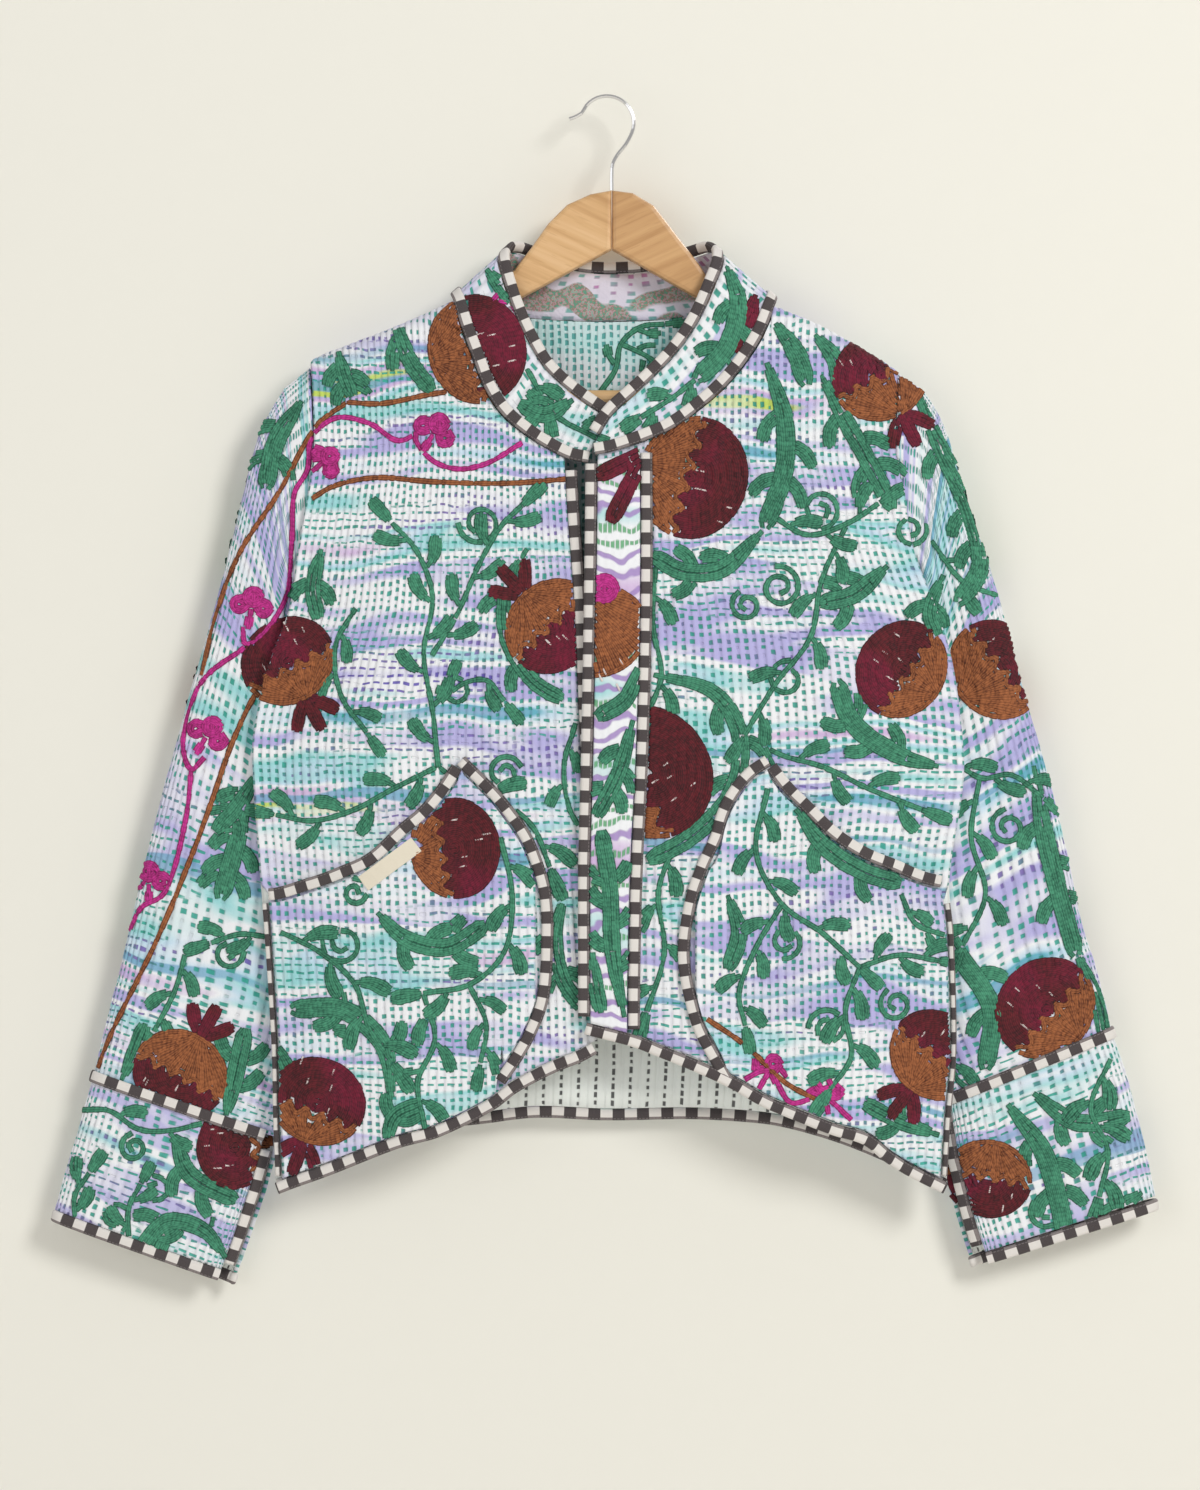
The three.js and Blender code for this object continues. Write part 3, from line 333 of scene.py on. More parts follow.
def seatOnShoulder(grid, normals):  # on the shoulder seam the thickness points up
    share = arch(grid[..., 0], grid[..., 2])
    turned = normals.copy()
    turned[..., 1] *= share
    turned[..., 2] = np.abs(turned[..., 2]) + (1 - share) * 0.6
    turned /= np.linalg.norm(turned, axis=-1, keepdims=True)
    blend = ease((0.95 - share) / 0.2)[..., None]
    joined = mix(normals, turned, blend)
    return joined / np.linalg.norm(joined, axis=-1, keepdims=True)


# Meshes

def makeObject(name, points, faces, materials, uvs, faceMaterials=None):
    mesh = bpy.data.meshes.new(name)
    mesh.from_pydata((np.asarray(points, float) * mm).tolist(), [], faces)
    for material in materials:
        mesh.materials.append(material)
    layer = mesh.uv_layers.new(name="cloth")
    corner = np.empty(len(mesh.loops), np.int32)
    mesh.loops.foreach_get("vertex_index", corner)
    layer.data.foreach_set("uv", np.asarray(uvs, np.float32)[corner].ravel())
    if faceMaterials is not None:
        mesh.polygons.foreach_set("material_index", np.asarray(faceMaterials, np.int32))
    mesh.polygons.foreach_set("use_smooth", np.ones(len(mesh.polygons), bool))
    mesh.update()
    obj = bpy.data.objects.new(name, mesh)
    bpy.context.scene.collection.objects.link(obj)
    return obj


def quads(index, closed):  # faces of a grid of indices, columns first
    after = np.roll(index, -1, 0) if closed else index[1:]
    before = index if closed else index[:-1]
    parts = [before[:, :-1], after[:, :-1], after[:, 1:], before[:, 1:]]
    return np.stack(parts, -1).reshape(-1, 4)


def rimFaces(innerLine, outerLine, kept, flip):
    faces = []
    for k in range(len(kept) - 1):
        a, b = innerLine[k], innerLine[k + 1]
        run = outerLine[kept[k]:kept[k + 1] + 1]
        fan = [(a, b, run[-1])] + [(a, run[n + 1], run[n]) for n in range(len(run) - 1)]
        faces += [face[::-1] for face in fan] if flip else fan
    return [tuple(int(v) for v in face) for face in faces]


# Puckers: one ridge for every four columns, swelling and sinking along its length
def puckers(columns, rows, seed, step):
    chance = np.random.RandomState(seed)
    knots = chance.uniform(0.35, 1.0, (columns // 4 + 2, rows // step + 3))
    along = np.arange(rows) / step
    i = along.astype(int)
    swell = mix(knots[:, i], knots[:, i + 1], ease(along - i))
    profile = np.array([0.0, 0.8, 1.0, 0.8])[np.arange(columns) % 4]
    return profile[:, None] * swell[np.arange(columns) // 4]


def clothWall(name, grid, sense, outside, inside, thick=None, ridge=None, closed=False, normals=None,
              down=None, seed=1, coarse=4):
    thick = sizes["cloth"] if thick is None else thick
    ridge = sizes["ridge"] if ridge is None else ridge
    if normals is None:
        normals = gridNormals(grid, sense, closed)
    columns, rows = grid.shape[:2]
    crest = puckers(columns, rows, seed, 3) * ridge
    if not closed:
        crest[[0, -1]] = 0
    outer = grid + normals * (thick + crest)[..., None]
    lastColumn = [] if closed else columns - 1
    keptColumns = np.unique(np.append(np.arange(0, columns, coarse), lastColumn)).astype(int)
    keptRows = np.unique(np.append(np.arange(0, rows, coarse), rows - 1)).astype(int)
    inner = grid[np.ix_(keptColumns, keptRows)]
    outerIndex = np.arange(columns * rows).reshape(columns, rows)
    innerIndex = columns * rows + np.arange(inner.shape[0] * inner.shape[1]).reshape(inner.shape[:2])
    outerFaces = quads(outerIndex, closed)
    innerFaces = quads(innerIndex, closed)[:, ::-1]
    wrapRows = np.append(keptColumns, columns) if closed else keptColumns
    rims = []
    for edge, flip in ((0, False), (-1, True)):
        outerLine, innerLine = outerIndex[:, edge], innerIndex[:, edge]
        if closed:
            outerLine, innerLine = np.append(outerLine, outerLine[0]), np.append(innerLine, innerLine[0])
        rims += rimFaces(innerLine, outerLine, wrapRows, flip)
    if not closed:
        for edge, flip in ((0, True), (-1, False)):
            rims += rimFaces(innerIndex[edge], outerIndex[edge], keptRows, flip)
    faces = [tuple(face) for face in outerFaces.tolist()] + rims
    faces += [tuple(face) for face in innerFaces.tolist()]
    if sense < 0:
        faces = [face[::-1] for face in faces]
    slots = [0] * (len(outerFaces) + len(rims)) + [1] * len(innerFaces)
    if down is None:
        down = -grid[..., 2]
    acrossUv = np.broadcast_to(np.arange(columns)[:, None] / 4, (columns, rows))
    uv = np.stack([acrossUv, down / clothUnit], -1)
    uvs = np.concatenate([uv.reshape(-1, 2), uv[np.ix_(keptColumns, keptRows)].reshape(-1, 2)])
    points = np.concatenate([outer.reshape(-1, 3), inner.reshape(-1, 3)])
    return makeObject(name, points, faces, [outside, inside], uvs, slots)


def splineThrough(points, count):  # centripetal, evenly spread over the points
    points = np.asarray(points, float)
    ends = [2 * points[0] - points[1]], [2 * points[-1] - points[-2]]
    held = np.concatenate([ends[0], points, ends[1]])
    at = np.linspace(0, len(points) - 1, count + 1)
    out = []
    for value in at:
        i = min(int(value), len(points) - 2)
        t = value - i
        p0, p1, p2, p3 = held[i:i + 4]
        d0, d1, d2 = (max(np.linalg.norm(b - a) ** 0.5, 1e-4) for a, b in ((p0, p1), (p1, p2), (p2, p3)))
        m1 = ((p1 - p0) / d0 - (p2 - p0) / (d0 + d1) + (p2 - p1) / d1) * d1
        m2 = ((p2 - p1) / d1 - (p3 - p1) / (d1 + d2) + (p3 - p2) / d2) * d1
        c2, c3 = -3 * p1 + 3 * p2 - 2 * m1 - m2, 2 * p1 - 2 * p2 + m1 + m2
        out.append(p1 + m1 * t + c2 * t * t + c3 * t ** 3)
    return np.array(out)


def evenlySpaced(points, spacing):
    points = np.asarray(points, float)
    lengths = np.linalg.norm(np.diff(points, axis=0), axis=1)
    along = np.concatenate([[0], np.cumsum(lengths)])
    count = max(int(round(along[-1] / spacing)), 2)
    at = np.linspace(0, along[-1], count + 1)
    return np.stack([np.interp(at, along, points[:, axis]) for axis in range(points.shape[1])], -1)


# Bindings: a rounded strip swept along points that have the cloth's normals
bindingShape = {
    "spacing": 2.4,
    "check": 8.6,          # length of one square of the check
    "wrap": [(1, 0.5), (0.96, 0.76), (0.8, 0.93), (0.5, 1), (0, 1), (-0.5, 1), (-0.8, 0.93), (-0.96, 0.76),
             (-1, 0.5), (-0.8, 0.06), (0, 0), (0.8, 0.06)],
    "flat": [(1, 0), (0.97, 0.55), (0.82, 0.86), (0.5, 0.97), (0, 1), (-0.5, 0.97), (-0.82, 0.86),
             (-0.97, 0.55), (-1, 0)],
}


def sweepBinding(name, points, normals, low, high, shape, material, half=None):
    half = sizes["trimWidth"] / 2 if half is None else half
    section = bindingShape[shape]
    along = np.gradient(points, axis=0)
    along /= np.linalg.norm(along, axis=1, keepdims=True)
    across = np.cross(along, normals)
    across /= np.linalg.norm(across, axis=1, keepdims=True)
    out = np.cross(across, along)
    travelled = np.concatenate([[0], np.cumsum(np.linalg.norm(np.diff(points, axis=0), axis=1))])
    plump = 1 - 0.07 * np.abs(np.sin(travelled * math.pi / bindingShape["check"] / 2 + 0.4))
    rings = []
    for wide, share in section:
        height = low + (high - low) * share
        height = np.where(share > 0.5, low + (high - low) * share * plump, height)
        rings.append(points + across * (wide * half) + out * height[:, None])
    grid = np.stack(rings, 0)
    sides, count = grid.shape[:2]
    index = np.arange(sides * count).reshape(sides, count)
    faces = [tuple(face)[::-1] for face in quads(index, True).tolist()]
    faces += [tuple(index[:, 0].tolist()), tuple(index[::-1, -1].tolist())]
    v = np.array([wide for wide, _ in section])
    uv = np.stack([np.broadcast_to(travelled / bindingShape["check"], (sides, count)),
                   np.broadcast_to(v[:, None], (sides, count))], -1)
    return makeObject(name, grid.reshape(-1, 3), faces, [material], uv.reshape(-1, 2))


def onSurface(surface, facing, flat):  # drawn points laid on an inner face, with its normals
    x, z = flat[:, 0], flat[:, 1]
    reach = 4.0
    overX = (surface(x + reach, z) - surface(x - reach, z)) / (2 * reach)
    overZ = (surface(x, z + reach) - surface(x, z - reach)) / (2 * reach)
    normals = np.stack([-overX * facing, np.full_like(x, facing), -overZ * facing], -1)
    normals /= np.linalg.norm(normals, axis=1, keepdims=True)
    return np.stack([x, surface(x, z), z], -1), normals


# Body panels

def inVent(side, z):
    inward = 1 if side == "right" else -1
    return inward * sizes["ventWidth"] * ease((-552 - z) / 8)


shoulderSteps = (0, 0.12, 0.4, 0.9, 1.6, 2.6, 4, 5.8, 8, 10.5, 13.5)
panelLook = {"frontColumns": 160, "backColumns": 312, "frontSpacing": 3.0, "backSpacing": 3.8}


def makeFront(side, outside, inside):
    outward = 1 if side == "left" else -1
    corner = abs(neckCorners[side][0]) + 2

    def innerEdge(z):
        return bandInner(z) + halfTrim if side == "left" else rightFrontEdge(z) - halfTrim

    def top(x):
        neck = neckOf[side](x - outward * 2) - 0.6
        return np.minimum(np.where(np.abs(x) < corner, neck, 0), shoulderTop(x))

    grid = panelGrid(panelLook["frontColumns"], innerEdge, lambda z: sideOf[side](z) + inVent(side, z), top,
                     beside(hemOf[side], halfTrim), innerOf[side], panelLook["frontSpacing"], shoulderSteps)
    sense = -1 if side == "left" else 1
    normals = seatOnShoulder(grid, gridNormals(grid, sense))
    return clothWall("front" + side.capitalize(), grid, sense, outside, inside, normals=normals, seed=3)


def makeBack(outside, inside):
    def top(x):
        neck = -156.5 + 9 * np.minimum(np.abs(x) / 105, 1) ** 2
        within = (x > neckCorners["right"][0] - 1) & (x < neckCorners["left"][0] + 1)
        return np.minimum(np.where(within, neck, 0), shoulderTop(x))

    grid = panelGrid(panelLook["backColumns"], backSideOf["left"], backSideOf["right"], top,
                     beside(backHemAt, halfTrim), backInner, panelLook["backSpacing"], shoulderSteps)
    normals = seatOnShoulder(grid, gridNormals(grid, -1))
    return clothWall("backPanel", grid, -1, outside, inside, normals=normals, seed=5)


# Sleeves and cuffs

sleeveLook = {"perFace": 92, "rowSpacing": 3.2, "slitAt": 0.86, "slitTrimAt": 0.917, "clothEnds": 0.953}


def sectionAt(sections, share):
    at = np.clip(share, 0, 1) * (len(sections) - 1)
    i = min(int(at), len(sections) - 2)
    return mix(np.array(sections[i], float), np.array(sections[i + 1], float), at - i)


def smoothSection(sections, share):
    column = np.arange(len(sections))
    return np.array([float(curveThrough(list(zip(column, values)))(share * (len(sections) - 1)))
                     for values in zip(*sections)])


def ringPoints(section, across, front, fold=0.0):
    outer, inner, half = section[:3], section[3:6], section[6]
    length = np.linalg.norm(inner - outer)
    share = (1 + across * (1 - 2 * wallOut / length)) / 2
    points = mix(outer[None, :], inner[None, :], share[:, None])
    bulge = half * np.sqrt(np.maximum(1 - across ** 4, 0)) + fold * (1 - across ** 4)
    points[:, 1] += np.where(front, -1, 1) * bulge
    return points


def sleeveFold(front, across, down):
    height = np.zeros_like(across)
    for face, at, start, end, halfWidth, high in sleeveFolds:
        off = (across - at) / halfWidth
        swell = high * np.exp(-off * off) * ease((down - start) * 6) * ease((end - down) * 6)
        height += np.where(front == (face == "front"), swell, 0)
    return height


def evenRing(count):  # positions round a flattened ring, closer where it turns
    turn = np.linspace(0, math.pi, count, endpoint=False)
    return np.sign(np.cos(turn)) * np.abs(np.cos(turn)) ** 0.85


def makeSleeve(side, outside, inside):
    sections = sleeveSections[side]
    perFace = sleeveLook["perFace"]
    outward = 1 if side == "left" else -1
    across = np.concatenate([evenRing(perFace), -evenRing(perFace)])
    front = np.arange(2 * perFace) < perFace
    length = sum(np.linalg.norm(np.subtract(b[:3], a[:3])) for a, b in zip(sections, sections[1:]))
    rows = int(length / sleeveLook["rowSpacing"])
    firstRing = ringPoints(sectionAt(sections, 0), across, front, sleeveFold(front, across, 0.0))
    z = firstRing[:, 2]
    armX = backSideOf[side](z) + outward * sizes["armholeGap"]
    closing = ease((1 - np.abs(across)) * 5)
    tucked = (wallOut + 0.6) * ease((-215 - z) / 35)
    seam = np.where(front, innerOf[side](armX, z) + tucked, backInner(armX, z))
    armhole = np.stack([armX, mix(firstRing[:, 1], seam, closing), z], -1)
    steps = len(sections) - 1
    rings = []
    for k in range(rows + 1):
        share = k / rows
        exact = sectionAt(sections, share)
        soft = smoothSection(sections, share)
        section = mix(exact, soft, ease(share * steps - 1))
        ring = ringPoints(section, across, front, sleeveFold(front, across, share))
        rings.append(ring + (armhole - firstRing) * max(1 - share * steps, 0))
    grid = np.stack(rings, 1)
    down = np.broadcast_to(np.linspace(0, length, rows + 1)[None, :], grid.shape[:2])
    sense = -1 if side == "left" else 1
    name = "sleeve" + side.capitalize()
    return clothWall(name, grid, sense, outside, inside, closed=True, down=down, seed=8)


def cuffRing(section, count):
    slit = sleeveLook["slitAt"]
    frontAcross = evenRing(count)
    frontAcross = np.where(frontAcross > 0, frontAcross * slit, frontAcross)
    backAcross = np.append(-evenRing(count), 1.0)
    return np.concatenate([ringPoints(section, frontAcross, True), ringPoints(section, backAcross, False)])


def makeCuff(side, outside, inside, trim):
    sections = cuffSections[side]
    perFace = sleeveLook["perFace"]
    sense = -1 if side == "left" else 1
    length = 104
    rows = int(length / sleeveLook["rowSpacing"])
    shares = np.linspace(0, sleeveLook["clothEnds"], rows + 1)
    grid = np.stack([cuffRing(sectionAt(sections, share), perFace) for share in shares], 1)
    down = np.broadcast_to(shares[None, :] * length, grid.shape[:2])
    name = side.capitalize()
    made = {f"cuff_{side}": clothWall("cuff" + name, grid, sense, outside, inside, down=down, seed=11)}

    def ringTrim(share):
        rings = [cuffRing(sectionAt(sections, min(max(share + step, 0), 1)), perFace)
                 for step in (-0.05, 0, 0.05)]
        if share > 0.99:
            rings[2] = rings[1] * 2 - rings[0]
        if share < 0.01:
            rings[0] = rings[1] * 2 - rings[2]
        normals = gridNormals(np.stack([rings[0], rings[2]], 1), sense)[:, 0]
        return rings[1], normals

    made[f"binding_cuff_top_{side}"] = sweepBinding("cuffTop" + name, *ringTrim(0), *seamReach, "flat", trim)
    made[f"binding_cuff_end_{side}"] = sweepBinding("cuffEnd" + name, *ringTrim(1), *edgeReach, "wrap", trim)
    slit = np.concatenate([ringPoints(sectionAt(sections, share), np.array([sleeveLook["slitTrimAt"]]), True)
                           for share in np.linspace(0.09, 0.9, 34)])
    facing = np.array([-0.45 if side == "left" else 0.45, -0.88, -0.12])
    normals = np.broadcast_to(facing / np.linalg.norm(facing), slit.shape)
    made[f"binding_cuff_slit_{side}"] = sweepBinding("cuffSlit" + name, slit, normals,
                                                     -0.4, 4.8, "wrap", trim)
    return made


# Pieces that lie on the fronts

def makeBand(outside, inside):
    grid = panelGrid(24, lambda z: bandInner(z) + halfTrim, lambda z: bandOuter(z) - halfTrim,
                     beside(neckOf["left"], -halfTrim - 0.6), beside(hemOf["left"], halfTrim),
                     lambda x, z: leftInner(x, z) - layBase, 3.0)
    return clothWall("frontBand", grid, -1, outside, inside,
                     sizes["patchCloth"], sizes["patchRidge"], seed=13)


def pocketLines(side):
    column = 1 if side == "right" else 2
    upper = curveThrough([(row[column], row[0]) for row in pocketCurves if row[0] >= -584])
    lower = curveThrough([(row[column], row[0]) for row in pocketCurves if row[0] < -584])
    mouth = curveThrough(leftPocketMouth if side == "left" else rightPocketMouth)
    apex, foot = (102, 74) if side == "right" else (112, 83.3)
    return (lambda x: np.where(np.abs(x) > apex, mouth(x), upper(x)),
            lambda x: np.where(np.abs(x) > foot, hemOf[side](x), lower(x)))


def makePocket(side, outside, inside):
    top, bottom = pocketLines(side)
    inward = -1 if side == "left" else 1
    gap = sizes["layGap"]
    grid = panelGrid(124, lambda z: np.full_like(z, 61.5 if side == "left" else -50.0),
                     lambda z: sideOf[side](z) + inward * (sizes["ventWidth"] + 0.8),
                     beside(top, -halfTrim - 1.4 * gap), beside(bottom, halfTrim + gap),
                     lambda x, z: innerOf[side](x, z) - layBase, 3.0)
    sense = -1 if side == "left" else 1
    return clothWall("pocket" + side.capitalize(), grid, sense, outside, inside,
                     sizes["patchCloth"], sizes["patchRidge"], seed=17)


def makeCollar(outside, inside, trim):
    count = 260
    seam = splineThrough([row[:3] for row in collarStations], count)
    edge = splineThrough([row[3:] for row in collarStations], count)
    along = np.gradient(edge, axis=0)
    along /= np.linalg.norm(along, axis=1, keepdims=True)
    rise = edge - seam
    width = np.linalg.norm(rise - along * np.sum(rise * along, 1, keepdims=True), axis=1)
    top = 1 - (halfTrim + seamGap) / width
    shares = np.linspace(1, 0, 13)[None, :] * top[:, None]
    shares[:, -1] = 0.5 / width
    grid = mix(seam[:, None, :], edge[:, None, :], shares[..., None])
    down = (1 - shares) * 36
    wall = clothWall("collarStand", grid, 1, outside, inside, ridge=0.7, down=down, seed=19, coarse=2)
    normals = gridNormals(np.stack([edge, seam], 1), 1)[:, 0]
    run = mix(seam, edge, (halfTrim * 0.7 / np.linalg.norm(rise, axis=1))[:, None])
    return {"collar": wall,
            "binding_collar_edge": sweepBinding("collarEdgeBinding", edge, normals, *edgeReach, "wrap", trim),
            "binding_collar_seam": sweepBinding("collarSeamBinding", run, normals, *seamReach, "flat", trim)}


# Bindings of the body

def drawnDown(xAt, zTop, zBottom):
    z = np.linspace(zTop, zBottom, 60)
    return np.stack([xAt(z), z], -1)


def drawnAcross(zAt, xStart, xEnd):
    x = np.linspace(xStart, xEnd, 90)
    return np.stack([x, zAt(x)], -1)


def bindOn(name, surface, facing, drawn, low, high, shape, trim, half=None):
    flat = evenlySpaced(drawn, bindingShape["spacing"])
    points, normals = onSurface(surface, facing, flat)
    return sweepBinding(name, points, normals, low, high, shape, trim, half)


def makeBodyBindings(trim):
    lapped = (0.1, sizes["lappedTrim"] - 0.6)
    onFront = (wallOut + seamGap, patchOut + 0.5)
    made = {
        "binding_edge_right": bindOn("rightEdgeBinding", rightInner, -1,
                                     drawnDown(rightFrontEdge, -263, -655), *edgeReach, "wrap", trim),
        "binding_band_inner": bindOn("bandInnerBinding", leftInner, -1, drawnDown(bandInner, -259, -644),
                                     -0.3, 7.6, "wrap", trim),
        "binding_band_outer": bindOn("bandOuterBinding", leftInner, -1, drawnDown(bandOuter, -251, -653),
                                     *onFront, "flat", trim),
        "binding_hem_right": bindOn("rightHemBinding", rightInner, -1, drawnAcross(hemOf["right"], -9, -231),
                                    *lapped, "wrap", trim),
        "binding_hem_left": bindOn("leftHemBinding", leftInner, -1, drawnAcross(hemOf["left"], -15, 237),
                                   *lapped, "wrap", trim),
        "binding_hem_back": bindOn("backHemBinding", backInner, 1, drawnAcross(backHemAt, -231, 237),
                                   0.1, 4.6, "wrap", trim),
    }
    for side, inward, apex in (("right", 1, -102), ("left", -1, 112)):
        surface, name = innerOf[side], side.capitalize()
        mouth = drawnAcross(pocketLines(side)[0], float(sideOf[side](-556)) + inward * 6, apex - inward * 3)
        made[f"binding_pocket_mouth_{side}"] = bindOn(f"pocketMouth{name}", surface, -1, mouth, layBase,
                                                      patchOut + 0.8, "wrap", trim)
        column = 1 if side == "right" else 2
        curveRows = splineThrough([(row[column], row[0], 0) for row in pocketCurves], 90)[:, :2]
        made[f"binding_pocket_curve_{side}"] = bindOn(f"pocketCurve{name}", surface, -1, curveRows, *onFront,
                                                      "flat", trim)
        vent = drawnDown(lambda z: sideOf[side](z) + inward * 2, -566, -757)
        made[f"binding_vent_front_{side}"] = bindOn(f"vent{name}", surface, -1, vent,
                                                    0.1, 4.4, "wrap", trim, 2.0)
    return made


# Shader maths: a Field is a socket that can stand in a sum

class Field:
    def __init__(self, paint, socket):
        self.paint = paint
        self.socket = socket

    def maths(self, operation, *values):
        return self.paint.node("ShaderNodeMath", {"operation": operation}, dict(enumerate(values)))

    def __add__(self, other):
        return self.maths("ADD", self, other)

    def __radd__(self, other):
        return self.maths("ADD", other, self)

    def __sub__(self, other):
        return self.maths("SUBTRACT", self, other)

    def __rsub__(self, other):
        return self.maths("SUBTRACT", other, self)

    def __mul__(self, other):
        return self.maths("MULTIPLY", self, other)

    def __rmul__(self, other):
        return self.maths("MULTIPLY", other, self)

    def __abs__(self):
        return self.maths("ABSOLUTE", self)

    def __mod__(self, other):
        return self.maths("FLOORED_MODULO", self, other)

    def floor(self):
        return self.maths("FLOOR", self)

    # 0 below low, 1 above high and smooth between them. It falls where low is above high
    def between(self, low, high):
        values = {"Value": self, "From Min": low, "From Max": high, "To Min": 0.0, "To Max": 1.0}
        return self.paint.node("ShaderNodeMapRange",
                               {"interpolation_type": "SMOOTHSTEP", "clamp": True}, values)


class Nodes:  # any node tree that is being filled
    def __init__(self, tree):
        self.tree = tree

    def node(self, kind, settings=None, values=None, output=0):
        made = self.tree.nodes.new(kind)
        for key, value in (settings or {}).items():
            if key == "stops":
                ramp = made.color_ramp
                while len(ramp.elements) < len(value):
                    ramp.elements.new(0.5)
                for element, (at, colour) in zip(ramp.elements, value):
                    element.position = at
                    element.color = (*colour, 1.0)
            else:
                setattr(made, key, value)
        for key, value in (values or {}).items():
            if isinstance(value, Field):
                self.tree.links.new(value.socket, made.inputs[key])
            else:
                made.inputs[key].default_value = value
        return Field(self, made.outputs[output])


class Paint(Nodes):
    def __init__(self, name, roughness=0.85, metallic=0.0, sheen=0.0):
        self.material = bpy.data.materials.new(name)
        self.material.use_nodes = True
        super().__init__(self.material.node_tree)
        self.shader = self.tree.nodes["Principled BSDF"]
        self.shader.inputs["Roughness"].default_value = roughness
        self.shader.inputs["Metallic"].default_value = metallic
        self.shader.inputs["Sheen Weight"].default_value = sheen

    def separate(self, vector):
        parts = self.node("ShaderNodeSeparateXYZ", None, {0: vector})
        return [Field(self, parts.socket.node.outputs[axis]) for axis in range(3)]

    def combine(self, x, y, z=0.0):
        return self.node("ShaderNodeCombineXYZ", None, {0: x, 1: y, 2: z})

    def place(self):  # object coordinates, in metres
        return self.node("ShaderNodeTexCoord", output="Object")

    def uv(self):
        return self.separate(self.node("ShaderNodeUVMap", {"uv_map": "cloth"}))[:2]

    def noise(self, vector, scale, detail=2.0, rough=0.5, distortion=0.0):
        return self.node("ShaderNodeTexNoise", None, {"Vector": vector, "Scale": scale, "Detail": detail,
                                                      "Roughness": rough, "Distortion": distortion})

    def chance(self, x, y):  # an even random number for each whole x and y
        cell = self.combine(x, y)
        return self.node("ShaderNodeTexWhiteNoise", {"noise_dimensions": "2D"}, {"Vector": cell})

    def ramp(self, value, stops):
        return self.node("ShaderNodeValToRGB", {"stops": stops}, {0: value})

    def blend(self, share, first, second, how="MIX"):
        first, second = ((*c, 1.0) if isinstance(c, tuple) else c for c in (first, second))
        return self.node("ShaderNodeMix", {"data_type": "RGBA", "blend_type": how, "clamp_factor": True},
                         {"Factor": share, 6: first, 7: second}, output=2)

    def finish(self, colour, height=None, depth=0.0005, strength=1.0):
        base = self.shader.inputs["Base Color"]
        if height is not None:
            bump = self.node("ShaderNodeBump", None,
                             {"Height": height, "Distance": depth, "Strength": strength})
            self.tree.links.new(bump.socket, self.shader.inputs["Normal"])
        if isinstance(colour, Field):
            self.tree.links.new(colour.socket, base)
        else:
            base.default_value = (*colour, 1.0)
        return self.material


# Cloth colours

quiltLook = {
    "white": (0.84, 0.86, 0.90),
    "lavender": (0.46, 0.44, 0.76),
    "lilac": (0.62, 0.46, 0.72),
    "aqua": (0.30, 0.66, 0.68),
    "violet": (0.12, 0.09, 0.46),
    "lime": (0.52, 0.66, 0.13),
    "paleBlue": (0.52, 0.70, 0.84),
    "sea": (0.12, 0.42, 0.54),
    "steel": (0.16, 0.38, 0.58),
    "teal": (0.020, 0.31, 0.235),
    "thread": (0.035, 0.40, 0.32),
    "plum": (0.22, 0.16, 0.46),
    "bandHeight": 17.0,      # waves of colour in each metre of height
    "stitchHalf": 0.26,      # half a stitch's width, in rows
    "stitchLong": 0.21,      # half its length, in stitches
}


def stitches(paint, seed, long=None):  # where the running stitches lie down the rows, and a number for each
    look = quiltLook
    u, v = paint.uv()
    row = (u + 0.5).floor()
    stray = paint.noise(paint.combine(u * 0.45, v * 0.45, seed), 1.0, 1.0) - 0.5
    along = v + paint.chance(row, seed) * 0.55 + stray * 0.9
    each = paint.chance(row, along.floor() + seed)
    across = abs((u + 0.5) % 1.0 - 0.5)
    off = abs((u + 0.5 + stray * 0.35) % 1.0 - 0.5)
    down = abs(along % 1.0 - 0.5)
    half = (0.7 + each * 0.6) * look["stitchHalf"]
    width = (off - half).between(0.0, -0.13)
    length = (down - (long or look["stitchLong"]) * (0.7 + each * 0.6)).between(0.07, -0.05)
    return width * length, each, across


def crossStitches(paint, seed):  # running stitches that lie across the rows
    u, v = paint.uv()
    stray = paint.noise(paint.combine(u * 0.3, v * 0.6, seed), 1.0, 1.0) - 0.5
    line = v * 1.1 + stray * 1.2
    along = u * 0.8 + paint.chance(line.floor(), seed)
    each = paint.chance(along.floor(), line.floor() + seed)
    off = abs(line % 1.0 - 0.5)
    down = abs(along % 1.0 - 0.5)
    return off.between(0.20, 0.10) * (down - 0.28 - each * 0.1).between(0.05, -0.05)


